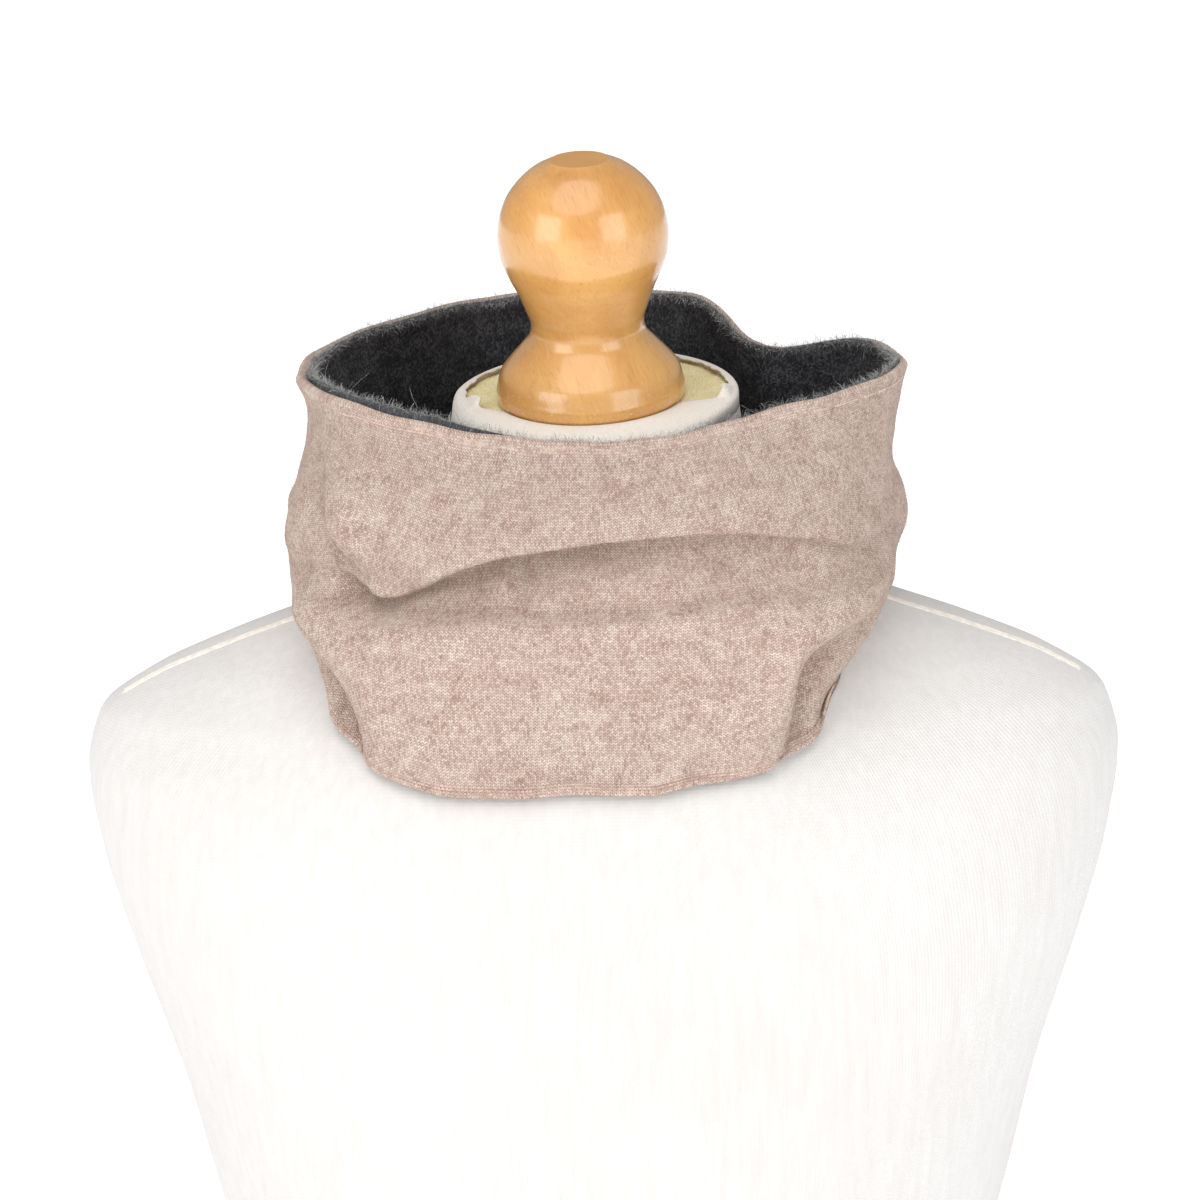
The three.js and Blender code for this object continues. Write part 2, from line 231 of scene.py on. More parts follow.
# the trough across the front: angle, its lip and its lower ridge in millimetres below the rim, how
# far the lip stands out and hangs down, how deep the floor lies, how far the ridge stands out
troughTable = np.array([
    [196, 58, 67, 0, 0, 0, 0],
    [204, 55, 69, 0.2, 0, 2.4, 1.2],
    [211, 56, 72, 0.8, 0.2, 5.6, 2.4],
    [217, 62, 74, 1.6, 0.8, 7.6, 3.4],
    [224, 66, 78, 2.4, 2.6, 8.2, 3.8],
    [231, 61, 80, 3.2, 4.6, 7.4, 3.8],
    [239, 53, 82, 3.6, 5.4, 6.2, 3.8],
    [249, 45, 84, 3.4, 5.6, 5.0, 3.4],
    [261, 42, 88, 3.2, 5.2, 4.6, 3.2],
    [275, 40, 88, 2.8, 4.2, 4.2, 3.0],
    [290, 40, 82, 2.4, 3.4, 4.0, 3.0],
    [302, 43, 77, 2.0, 2.8, 3.6, 2.6],
    [316, 49, 73, 1.6, 2.0, 3.0, 2.0],
    [334, 58, 70, 0.6, 0.6, 1.2, 0.6],
    [348, 62, 69, 0, 0, 0, 0],
])
# edges where one side stands over the other: places (angle, millimetres below the rim), which side
# lies low (1 for greater angles), widths of the high and low side, how high and how low it gets
foldEdges = [
    # the long upright crease from the rim to the pit
    ([(196, 8), (203, 19), (209, 30), (213, 44), (217, 56), (223, 64)], -1, 6, 5,
     (0, 2.0, 3.2, 3.6, 2.6, 0), (0, 3.6, 6.2, 7.0, 5.0, 0)),
    # the pocket low on the right under its lip
    ([(334, 69), (325, 78), (317, 84), (311, 90), (308, 98), (308, 108), (306, 122)], 1, 6, 4.5,
     (0, 2.4, 5.2, 7.4, 7.2, 4.2, 0.6), (0, 3.0, 6.5, 9.5, 10, 8, 3)),
    # the doubled edge low on the left
    ([(203, 78), (211, 86), (217, 94), (221, 104), (223, 116)], -1, 6, 4,
     (0, 2.4, 2.8, 2.6, 1), (0, 4.2, 6.0, 5.6, 3)),
    # a second, lower layer behind it
    ([(196, 84), (203, 92), (209, 101), (213, 112)], -1, 5, 4, (0, 2.0, 2.2, 1), (0, 3.4, 4.2, 2)),
    # the cloth doubled at the back right, below the pinch in the rim
    ([(24, 20), (33, 36), (40, 54), (44, 74)], -1, 6, 5, (0, 2.4, 2.4, 0), (0, 4.0, 4.4, 0)),
]
# softer creases: places, width to the right and left of the line, how far each stands out along
# the line, and how far it hangs down
handCreases = [
    # the pit at the front left
    ([(210, 63), (215, 68), (220, 72), (227, 75)], 5, 5, (0, -4.8, -4.8, 0), 0),
    # hem eased up at the front right
    ([(282, 152), (294, 144), (306, 134)], 15, 15, (0, -1.6, 0), 2.8),
    # the bulge of the side between the upright crease and the outline
    ([(190, 40), (197, 48), (202, 56)], 9, 8, (0, 3.4, 0), 0.4),
    # a short upright one in the trough
    ([(244, 58), (247, 68), (249, 79)], 6, 3, (0, 3.6, 0), 0),
    # shallow slack in the middle of the trough and under the ridge
    ([(262, 66), (276, 70), (292, 68)], 7, 7, (0, 1.4, 0), 0),
    ([(236, 100), (250, 106), (266, 104)], 9, 9, (0, -1.2, 0), 0),
    ([(286, 100), (296, 112), (300, 124)], 9, 9, (0, 1.6, 0), 0),
    # slack pulled between the right side and the front
    ([(352, 34), (338, 42), (322, 40), (304, 34)], 5, 7, (0, -2.2, -2.0, 0), 0),
    ([(350, 50), (334, 55), (318, 58)], 4, 6, (0, -2.6, 0), 0),
    # round the sides and back, of the same kind
    ([(168, 20), (178, 30), (190, 34)], 5, 6, (0, -2.4, 0), 0),
    ([(150, 52), (164, 58), (180, 60), (192, 66)], 4, 6, (0, -4.0, -4.4, 0), 0),
    ([(60, 58), (78, 66), (98, 66), (118, 58), (136, 54)], 3.5, 7, (0, -4.0, -5.4, -4.2, 0), 0),
    ([(66, 50), (84, 56), (104, 54), (124, 46)], 8, 5, (0, 3.2, 3.2, 0), 0.9),
    ([(92, 84), (110, 94), (130, 92), (150, 82)], 4, 8, (0, -3.6, -4.2, 0), 0),
    ([(52, 84), (66, 96), (84, 102)], 4, 7, (0, -3.8, 0), 0),
    ([(0, 22), (10, 34), (14, 50), (22, 62)], 5, 6, (0, -3.2, -3.4, 0), 0),
    ([(348, 24), (356, 36), (4, 46)], 5, 6, (0, -2.8, 0), 0),
    ([(120, 12), (112, 28), (114, 44)], 5, 5, (0, -2.4, 0), 0),
    ([(76, 10), (84, 24), (82, 40)], 5, 5, (0, -2.4, 0), 0),
]
# where the rim rolls open: middle angle, half width in degrees, how far out and down
rimRolls = [(208, 28, 5.6, -2.6), (336, 22, 1.6, -0.6), (352, 14, 1.2, 0)]


def nearestOnLine(places, angle, down):
    # distance to the line, which side of it, and how far along it, for every place on the cloth
    girth = clothSettings["girthPerDegree"]
    places = np.array(places, float)
    first = places[0, 0]
    turned = (places[:, 0] - first + 180) % 360 - 180
    knots = np.concatenate([[0], np.hypot(np.diff(turned) * girth, np.diff(places[:, 1])).cumsum()])
    fine = np.linspace(0, knots[-1], 70)
    lineU, lineW = softLine(knots, turned * girth, fine), softLine(knots, places[:, 1], fine)
    u = ((np.degrees(angle) - first + 180) % 360 - 180) * girth
    away = np.hypot(u[..., None] - lineU, down[..., None] - lineW)
    near = away.argmin(-1)
    runU, runW = np.gradient(lineU)[near], np.gradient(lineW)[near]
    side = (u - lineU[near]) * runW - (down - lineW[near]) * runU
    return away.min(-1), np.sign(side), near / 69


def alongLine(values, at):
    return smoothCurve(np.linspace(0, 1, len(values)), np.array(values, float), at)


def handCrease(angle, share):
    down = share * lengthDown(angle)
    out, hang = np.zeros_like(down), np.zeros_like(down)
    for places, widthRight, widthLeft, depths, hangs in handCreases:
        away, side, at = nearestOnLine(places, angle, down)
        amount = alongLine(depths, at) * np.exp(-(away / np.where(side < 0, widthRight, widthLeft)) ** 2)
        out += amount
        hang += amount * hangs
    for places, lowSide, widthHigh, widthLow, heights, depths in foldEdges:
        away, side, at = nearestOnLine(places, angle, down)
        low = side == lowSide
        reach = away / np.where(low, widthLow, widthHigh)
        height = np.where(low, -alongLine(depths, at), alongLine(heights, at))
        out += height * reach * np.exp(0.5 - 0.5 * reach**2)
    return out, hang


def troughShift(angle, share):
    degrees = np.degrees(angle) % 360
    down = share * lengthDown(angle)
    lip, ridge, lipOut, hang, deep, ridgeOut = (
        smoothCurve(troughTable[:, 0], troughTable[:, k], degrees) for k in range(1, 7))
    past, toRidge, room = down - lip, down - ridge, ridge - lip
    out = lipOut * np.exp(-((past + 4) / np.where(past < -4, 12, 4.5)) ** 2)
    floorDepth = deep * (1 - 0.4 * np.clip(past / room, 0, 1))
    out -= floorDepth * smoothStep((past + 0.5) / 4.5) * smoothStep((1.5 - toRidge) / 6)
    out += ridgeOut * smoothStep((toRidge + 4) / 4.5) * np.exp(-(np.maximum(toRidge - 1, 0) / 17) ** 2)
    up = -hang * np.exp(-((past + 1) / np.where(past < -1, 13, 3)) ** 2)
    return out, up


def softLine(knots, values, at):
    # a line through the places with its corners rounded
    line = np.interp(at, knots, values)
    padded = np.concatenate([np.full(6, line[0]), line, np.full(6, line[-1])])
    return np.convolve(padded, np.ones(13) / 13, "valid")


def lengthDown(angle):
    s = clothSettings
    full = np.where(np.sin(angle) < 0, s["frontLength"], s["backLength"])
    return s["sideLength"] + (full - s["sideLength"]) * np.abs(np.sin(angle)) ** 3


def foldShift(angle, share, table):
    girth = clothSettings["girthPerDegree"]
    degrees = np.degrees(angle)
    down = share * lengthDown(angle)
    out, up = np.zeros_like(down), np.zeros_like(down)
    for fromAngle, fromBelow, toAngle, toBelow, bow, above, below, depth, lift, fadeIn, fadeOut in table:
        middle = (fromAngle + toAngle) / 2
        dx = ((degrees - middle + 180) % 360 - 180) * girth - (fromAngle - middle) * girth
        dy = down - fromBelow
        runX, runY = (toAngle - fromAngle) * girth, toBelow - fromBelow
        run = math.hypot(runX, runY)
        along = (dx * runX + dy * runY) / run**2
        facing = 1 if runX >= 0 else -1
        tilt = bow * 4 * (1 - 2 * np.clip(along, 0, 1)) / run
        off = (facing * (dy * runX - dx * runY) / run - bow * 4 * along * (1 - along)) / np.hypot(1, tilt)
        strength = np.exp(-(off / np.where(off < 0, above, below)) ** 2)
        strength = strength * smoothStep(along / fadeIn) * smoothStep((1 - along) / fadeOut)
        out += depth * strength
        up += lift * strength
    return out, up


def clothPoints(angle, share):
    front, frontUp, right, rightUp, back, backUp, left, leftUp, squareF, squareB, levelF, levelB = (
        smoothCurve(tubeSections[:, 0], tubeSections[:, k], share) for k in range(1, 13))
    c, s = np.cos(angle), np.sin(angle)
    side, sideUp = np.where(c >= 0, right, left), np.where(c >= 0, rightUp, leftUp)
    end, endUp = np.where(s >= 0, back, front), np.where(s >= 0, backUp, frontUp)
    square, level = np.where(s >= 0, squareB, squareF), np.where(s >= 0, levelB, levelF)
    radius = ((np.abs(c) / side) ** square + (np.abs(s) / end) ** square) ** (-1 / square)
    toSide = np.abs(c) ** (2 * level)
    out, up = foldShift(angle, share, mainFolds)
    creaseOut, hang = handCrease(angle, share)
    troughOut, troughUp = troughShift(angle, share)
    out, up = out + creaseOut + troughOut, up - hang + troughUp
    # slow unevenness of the hand, and the rim and hem a little wavy
    uneven = (0.5 * np.sin(5 * angle + 7 * share) + 0.35 * np.sin(11 * angle - 9 * share + 1)
              + 0.22 * np.sin(23 * angle + 5 * share + 2))
    edgeWave = 0.7 * np.sin(7 * angle + 0.6) + 0.4 * np.sin(19 * angle + 2)
    rimShare, hemShare = np.exp(-share * 14), np.exp(-(1 - share) * 14)
    roll = np.exp(-(share * lengthDown(angle) / 6.5) ** 1.6)
    for at, half, outward, drop in rimRolls:
        near = np.exp(-(((np.degrees(angle) - at + 180) % 360 - 180) / half) ** 2) * roll
        out = out + outward * near
        up = up + drop * near
    radius = radius + out + uneven
    height = clothSettings["shoulderHeight"] + toSide * sideUp + (1 - toSide) * endUp + up
    height = height + edgeWave * (0.6 * rimShare + 0.5 * hemShare)
    return np.stack([radius * c, radius * s, height], -1)


def gridNormals(grid):
    around = np.roll(grid, -1, 1) - np.roll(grid, 1, 1)
    normals = -np.cross(around, np.gradient(grid, axis=0))
    return normals / (np.linalg.norm(normals, axis=-1, keepdims=True) + 1e-12)


def softened(field, times):
    for _ in range(times):
        sides = np.roll(field, 1, 1) + np.roll(field, -1, 1)
        above = np.concatenate([field[:1], field[:-1]])
        below = np.concatenate([field[1:], field[-1:]])
        field = (field * 4 + sides + above + below) / 8
    return field


def clothSurface():
    # the worn surface, moved out wherever the whole cloth would come too near the form
    s = clothSettings
    angle, share = np.meshgrid(2 * np.pi * np.arange(s["columns"]) / s["columns"],
                               np.linspace(0, 1, s["rows"] + 1))
    grid = clothPoints(angle, share)
    for _ in range(6):
        normals = softened(gridNormals(grid), 2)
        need, direction = np.zeros(grid.shape[:2]), np.zeros_like(grid)
        for depth in (0, s["wholeThickness"]):
            gap, away = awayFromTorso(grid - depth * normals)
            short = np.where(grid[..., 2] < formSettings["neckColumnTop"], formSettings["clearance"] - gap, 0)
            more = short > need
            need[more], direction[more] = short[more], away[more]
        grid = grid + direction * softened(need[..., None], 1)
    return grid


def shellPiece(name, face, normals, start, thickness, rimRise, rimSwell, material):
    # a closed thin wall between two depths under the face, with round rim and hem; the rim swells
    # where the edge is linked double
    rows, columns = face.shape[0] - 1, face.shape[1]
    rimSwell = np.asarray(rimSwell) * np.ones(columns)
    swell = (rimSwell * np.clip(1 - np.arange(rows + 1) / 5, 0, 1)[:, None] ** 1.5)[..., None]
    outside = face - (start - 0.3 * swell) * normals
    inside = face - (start + thickness + 0.7 * swell) * normals
    middle = (outside + inside) / 2
    upward = face[0] - face[1]
    upward = upward / np.linalg.norm(upward, axis=-1, keepdims=True)
    downward = face[-1] - face[-2]
    downward = downward / np.linalg.norm(downward, axis=-1, keepdims=True)
    lift = rimRise if np.ndim(rimRise) else np.full(columns, float(rimRise))
    for array in (outside, middle, inside):
        for i in range(5):
            array[i] += upward * lift[:, None] * (1 - i / 5)
    turns = np.radians([30, 65, 90, 115, 150])
    half, rimHalf = thickness / 2, (thickness + rimSwell[:, None]) / 2
    hemRings = [middle[-1] + half * (math.cos(a) * normals[-1] + 1.1 * math.sin(a) * downward) for a in turns]
    rimRings = [middle[0] + rimHalf * (-math.cos(a) * normals[0] + 1.1 * math.sin(a) * upward) for a in turns]
    rings = list(outside) + hemRings + list(inside[::-1]) + rimRings
    points = np.array(rings)
    # u by the mean length round all rows, evened out, v by the length down each column
    lengths = np.linalg.norm(np.roll(face, -1, 1) - face, axis=-1).mean(0)
    for _ in range(24):
        lengths = (np.roll(lengths, 1) + 2 * lengths + np.roll(lengths, -1)) / 4
    u = np.concatenate([[0], np.cumsum(lengths)]) / lengths.sum()
    steps = np.linalg.norm(np.diff(face, axis=0), axis=-1).cumsum(0)
    v = np.concatenate([np.zeros((1, columns)), steps / steps[-1]])
    over = 0.35 / clothSettings["courses"]
    hemV = [v[-1] + over * (k + 1) for k in range(5)]
    rimV = [v[0] - over * (5 - k) for k in range(5)]
    allV = np.array(list(v) + hemV + list(v[::-1]) + rimV)
    faces, low, col = ringFaces(len(rings), columns, closed=True)
    high, nextCol = (low + 1) % len(rings), (col + 1) % columns
    corners = [(low, col, col), (low, nextCol, col + 1), (high, nextCol, col + 1), (high, col, col)]
    uvs = np.stack([np.stack([u[edge], 1 - allV[ring, place]], -1) for ring, place, edge in corners], 1)
    flat = points.reshape(-1, 3)
    faces, uvs = facedOut(flat, faces, uvs)
    return meshPiece(name, flat, faces, uvs, material), outside


# each row: how many times the surface is smoothed, the depth in millimetres that counts as full,
# and its share
creaseShadeSettings = {"scales": [(14, 0.9, 0.55), (90, 3.2, 0.6)], "rimRows": 3}


def paintCreaseShade(piece, face, normals):
    # painted crease shade: 0 on open cloth, 1 at the bottom of a deep crease, measured against the same
    # surface smoothed
    depth = sum(np.clip(((softened(face, times) - face) * normals).sum(-1) / full, 0, 1) * part
                for times, full, part in creaseShadeSettings["scales"])
    depth = softened(np.clip(depth, 0, 1)[..., None], 1)[..., 0]
    depth[:creaseShadeSettings["rimRows"]] = 0
    values = np.zeros(len(piece.data.vertices), np.float32)
    values[:depth.size] = depth.ravel()
    layer = piece.data.attributes.new("hollow", "FLOAT", "POINT")
    layer.data.foreach_set("value", values)


class NodeBench:
    # keeps one tree and its wiring short
    def __init__(self, tree):
        self.tree = tree

    def add(self, kind, **settings):
        node = self.tree.nodes.new(kind)
        inputs = settings.pop("inputs", {})
        for key, value in settings.items():
            setattr(node, key, value)
        for key, value in inputs.items():
            self.put(node.inputs[key], value)
        return node

    def put(self, socket, value):
        if isinstance(value, bpy.types.NodeSocket):
            self.tree.links.new(value, socket)
        else:
            socket.default_value = value

    def maths(self, operation, first, second=None, third=None, clamp=False):
        node = self.add("ShaderNodeMath", operation=operation, use_clamp=clamp)
        for k, value in enumerate((first, second, third)):
            if value is not None:
                self.put(node.inputs[k], value)
        return node.outputs[0]

    def blend(self, factor, first, second, mode="MIX"):
        node = self.add("ShaderNodeMix", data_type="RGBA", blend_type=mode)
        self.put(node.inputs[0], factor)
        self.put(node.inputs[6], first)
        self.put(node.inputs[7], second)
        return node.outputs[2]

    def settle(self, node, **values):
        # sets inputs by their names, written together as one word
        for socket in node.inputs:
            key = socket.name.replace(" ", "")
            key = key[:1].lower() + key[1:]
            if key in values:
                self.put(socket, values.pop(key))
        assert not values, values

    def noise(self, vector, scale, detail=2, roughness=0.5, distortion=0):
        node = self.add("ShaderNodeTexNoise", inputs={"Vector": vector, "Scale": scale, "Detail": detail,
                                                      "Roughness": roughness, "Distortion": distortion})
        return node.outputs["Fac"]

    def stretched(self, vector, scale=(1, 1, 1), turn=(0, 0, 0), move=(0, 0, 0)):
        node = self.add("ShaderNodeMapping", inputs={"Vector": vector, "Scale": scale, "Rotation": turn,
                                                     "Location": move})
        return node.outputs[0]

    def spread(self, value, low, high, toLow=0, toHigh=1):
        node = self.add("ShaderNodeMapRange", clamp=True)
        for key, item in (("Value", value), ("From Min", low), ("From Max", high), ("To Min", toLow),
                          ("To Max", toHigh)):
            self.put(node.inputs[key], item)
        return node.outputs[0]

    def bump(self, height, strength, distance, under=None):
        node = self.add("ShaderNodeBump", inputs={
            "Height": height, "Strength": strength, "Distance": distance})
        if under is not None:
            self.put(node.inputs["Normal"], under)
        return node.outputs[0]


def newMaterial(name):
    material = bpy.data.materials.new(name)
    material.use_nodes = True
    material.node_tree.nodes.clear()
    bench = NodeBench(material.node_tree)
    shader = bench.add("ShaderNodeBsdfPrincipled")
    output = bench.add("ShaderNodeOutputMaterial")
    bench.put(output.inputs["Surface"], shader.outputs[0])
    material.diffuse_color = (0.8, 0.8, 0.8, 1)
    return material, bench, shader


def knitMaterial(name, s):
    # stockinette: each wale is a column of V stitches, heathered leg by leg
    material, bench, shader = newMaterial(name)
    uvNode = bench.add("ShaderNodeUVMap", uv_map="knitMap")
    split = bench.add("ShaderNodeSeparateXYZ", inputs={0: uvNode.outputs[0]})
    wale = bench.maths("MULTIPLY", split.outputs[0], s["wales"])
    course = bench.maths("MULTIPLY", split.outputs[1], s["courses"])
    place = bench.add("ShaderNodeTexCoord").outputs["Object"]
    wobble = bench.noise(place, 90, 2)
    wale = bench.maths("MULTIPLY_ADD", wobble, s["wobble"], wale)
    across = bench.maths("SUBTRACT", bench.maths("FRACT", wale), 0.5)
    fromMiddle = bench.maths("MULTIPLY", bench.maths("ABSOLUTE", across), 2)
    slanted = bench.maths("ADD", course, bench.maths("MULTIPLY", fromMiddle, s["slant"]))
    legCross = bench.maths("SINE", bench.maths("MULTIPLY", fromMiddle, math.pi))
    legCross = bench.maths("POWER", bench.maths("MAXIMUM", legCross, 0.0001), 0.6)
    along = bench.maths("SINE", bench.maths("MULTIPLY", bench.maths("FRACT", slanted), math.pi))
    stitch = bench.maths("MULTIPLY", bench.maths("MULTIPLY_ADD", legCross, 0.6, 0.4),
                         bench.maths("MULTIPLY_ADD", along, 0.82, 0.18))
    # one number for each leg of each stitch
    legNumber = bench.maths("FLOOR", bench.maths("MULTIPLY", wale, 2))
    rowNumber = bench.maths("FLOOR", slanted)
    legPlace = bench.add("ShaderNodeCombineXYZ", inputs={0: legNumber, 1: rowNumber}).outputs[0]
    leg = bench.add("ShaderNodeTexWhiteNoise", noise_dimensions="2D", inputs={
        "Vector": legPlace}).outputs["Value"]
    streakPlace = bench.add("ShaderNodeCombineXYZ", inputs={
        0: bench.maths("MULTIPLY", wale, 0.3), 1: bench.maths("MULTIPLY", rowNumber, 1.9)}).outputs[0]
    streak = bench.noise(streakPlace, 1.0, 2)
    cloud = bench.noise(place, s["cloudScale"], 3, 0.55)
    patch = bench.noise(place, 150, 3, 0.5)
    hair = bench.noise(bench.stretched(place, (1, 1, 2.0)), 1300, 2, 0.6)
    heather = bench.maths("MULTIPLY", leg, s["legShare"])
    for part, weight in ((streak, 0.2), (patch, s["patchShare"]), (hair, 0.26)):
        heather = bench.maths("ADD", heather, bench.maths("MULTIPLY", part, weight))
    ramp = bench.add("ShaderNodeValToRGB", inputs={0: heather})
    ramp.color_ramp.elements[0].position = s["stops"][0]
    ramp.color_ramp.elements[0].color = s["dark"]
    ramp.color_ramp.elements[1].position = s["stops"][2]
    ramp.color_ramp.elements[1].color = s["light"]
    middleStop = ramp.color_ramp.elements.new(s["stops"][1])
    middleStop.color = s["middle"]
    colour = bench.blend(bench.spread(cloud, 0.3, 0.7, 0, s["cloudShare"]), ramp.outputs[0], s["cloudTint"])
    flecks = bench.add("ShaderNodeTexWhiteNoise", noise_dimensions="2D", inputs={
        "Vector": bench.stretched(legPlace, (1, 1, 1), move=(41, 7, 0))}).outputs["Value"]
    colour = bench.blend(bench.spread(flecks, 0.990, 0.994, 0, 0.4), colour, s["fleckDark"])
    colour = bench.blend(bench.spread(flecks, 0.014, 0.004, 0, 0.5), colour, s["fleckLight"])
    # painted shade between the stitch legs and rows, darkest where the stitch relief is lowest
    shaded = bench.blend(bench.spread(stitch, 0.0, 0.7, s["crevice"], 0), colour, s["creviceTint"])
    shaded = bench.blend(bench.spread(split.outputs[1], 0.955, 1.0, 0, s["rimPale"]), shaded, s["light"])
    # painted shade: the cloth darkened in its creases, by the crease depth stored on the piece
    hollow = bench.add("ShaderNodeAttribute", attribute_name="hollow").outputs["Fac"]
    shaded = bench.blend(bench.maths("MULTIPLY", hollow, s["hollow"]), shaded, s["hollowTint"])
    bench.settle(shader, baseColor=shaded, roughness=0.92, specularIORLevel=0.25, sheenWeight=s["sheen"],
                 sheenRoughness=0.45, sheenTint=s["sheenTint"],
                 normal=bench.bump(stitch, s["relief"], 0.0006, bench.bump(hair, 0.35, 0.0003)))
    return material


# in these looks the crevice and crease tints, with their shares, are painted shade
outerKnitLook = {
    "wales": clothSettings["wales"], "courses": clothSettings["courses"],
    "slant": -0.62, "wobble": 0.3, "legShare": 0.22, "patchShare": 0.3, "stops": (0.31, 0.49, 0.68),
    "cloudScale": 28, "cloudShare": 0.2, "crevice": 0.86, "hollow": 0.24, "rimPale": 0.0,
    "relief": 0.9, "sheen": 0.12,
    "dark": tint(178, 146, 131), "middle": tint(224, 199, 185), "light": tint(252, 238, 228),
    "cloudTint": tint(212, 184, 168), "creviceTint": tint(132, 103, 90),
    "hollowTint": tint(112, 78, 62), "fleckDark": tint(120, 92, 78), "fleckLight": tint(248, 238, 230),
    "sheenTint": tint(240, 225, 215),
}
liningKnitLook = {
    "wales": clothSettings["wales"], "courses": clothSettings["courses"],
    "slant": -0.9, "wobble": 0.4, "legShare": 0.3, "patchShare": 0.42, "stops": (0.38, 0.57, 0.8),
    "cloudScale": 40, "cloudShare": 0.3, "crevice": 0.7, "hollow": 0.0, "rimPale": 0.28,
    "relief": 0.9, "sheen": 0.12,
    "dark": tint(34, 34, 37), "middle": tint(66, 66, 70), "light": tint(126, 126, 130),
    "cloudTint": tint(60, 60, 66), "creviceTint": tint(18, 18, 20),
    "hollowTint": tint(20, 20, 22), "fleckDark": tint(20, 20, 21), "fleckLight": tint(140, 139, 140),
    "sheenTint": tint(170, 170, 175),
}


def yarnMaterial(name, colour, darker, sheen):
    # loose yarn and fuzz
    material, bench, shader = newMaterial(name)
    place = bench.add("ShaderNodeTexCoord").outputs["Object"]
    mixed = bench.blend(bench.spread(bench.noise(place, 420, 2), 0.35, 0.65), colour, darker)
    bench.settle(shader, baseColor=mixed, roughness=0.9, sheenWeight=sheen,
                 normal=bench.bump(bench.noise(place, 2600, 1), 0.4, 0.0002))
    return material


def jerseyMaterial(name, pale, deeper):
    # fine cream jersey with upright wales
    material, bench, shader = newMaterial(name)
    uvNode = bench.add("ShaderNodeUVMap", uv_map="knitMap")
    split = bench.add("ShaderNodeSeparateXYZ", inputs={0: uvNode.outputs[0]})
    place = bench.add("ShaderNodeTexCoord").outputs["Object"]
    wale = bench.maths("SINE", bench.maths("MULTIPLY", split.outputs[0], 2 * math.pi * 820))
    course = bench.maths("SINE", bench.maths("MULTIPLY", split.outputs[1], 2 * math.pi * 760))
    thread = bench.maths("MULTIPLY_ADD", wale, 0.7, bench.maths("MULTIPLY", course, 0.3))
    slub = bench.noise(bench.stretched(place, (1, 1, 0.12)), 300, 2)
    cloud = bench.noise(place, 9, 3)
    amount = bench.maths("ADD", bench.spread(slub, 0.3, 0.7, 0, 0.5), bench.spread(cloud, 0.3, 0.7, 0, 0.5))
    colour = bench.blend(amount, pale, deeper)
    # painted shade in the grooves between the wales
    colour = bench.blend(bench.spread(thread, -0.9, 0.5, 0.16, 0), colour, tint(214, 205, 197))
    # the stretched cover round the neck painted paler and warmer at the top: partly its own cream, partly
    # painted light
    height = bench.add("ShaderNodeSeparateXYZ", inputs={0: place}).outputs[2]
    colour = bench.blend(bench.spread(height, 0.56, 0.59, 0, 0.8), colour, tint(246, 238, 227))
    loops = bench.maths("MULTIPLY", bench.noise(place, 900, 2, 0.7), bench.spread(height, 0.57, 0.59))
    under = bench.bump(loops, 0.9, 0.0008, bench.bump(cloud, 0.05, 0.002))
    bench.settle(shader, baseColor=colour, roughness=0.9, sheenWeight=0.15,
                 normal=bench.bump(thread, 0.35, 0.0002, under))
    return material


def foamMaterial(name):
    # pale open-cell foam, yellowed
    material, bench, shader = newMaterial(name)
    place = bench.add("ShaderNodeTexCoord").outputs["Object"]
    cells = bench.add("ShaderNodeTexVoronoi", inputs={"Vector": place, "Scale": 1100}).outputs["Distance"]
    cloud = bench.noise(place, 120, 3)
    colour = bench.blend(bench.spread(cloud, 0.3, 0.7), tint(252, 242, 198), tint(240, 226, 170))
    # painted shade in the pits of the open cells
    colour = bench.blend(bench.spread(cells, 0.5, 0.1, 0, 0.35), colour, tint(206, 190, 128))
    bench.settle(shader, baseColor=colour, roughness=0.95, subsurfaceWeight=0.1, subsurfaceScale=0.002,
                 normal=bench.bump(cells, 0.8, 0.0006, bench.bump(cloud, 0.3, 0.001)))
    return material


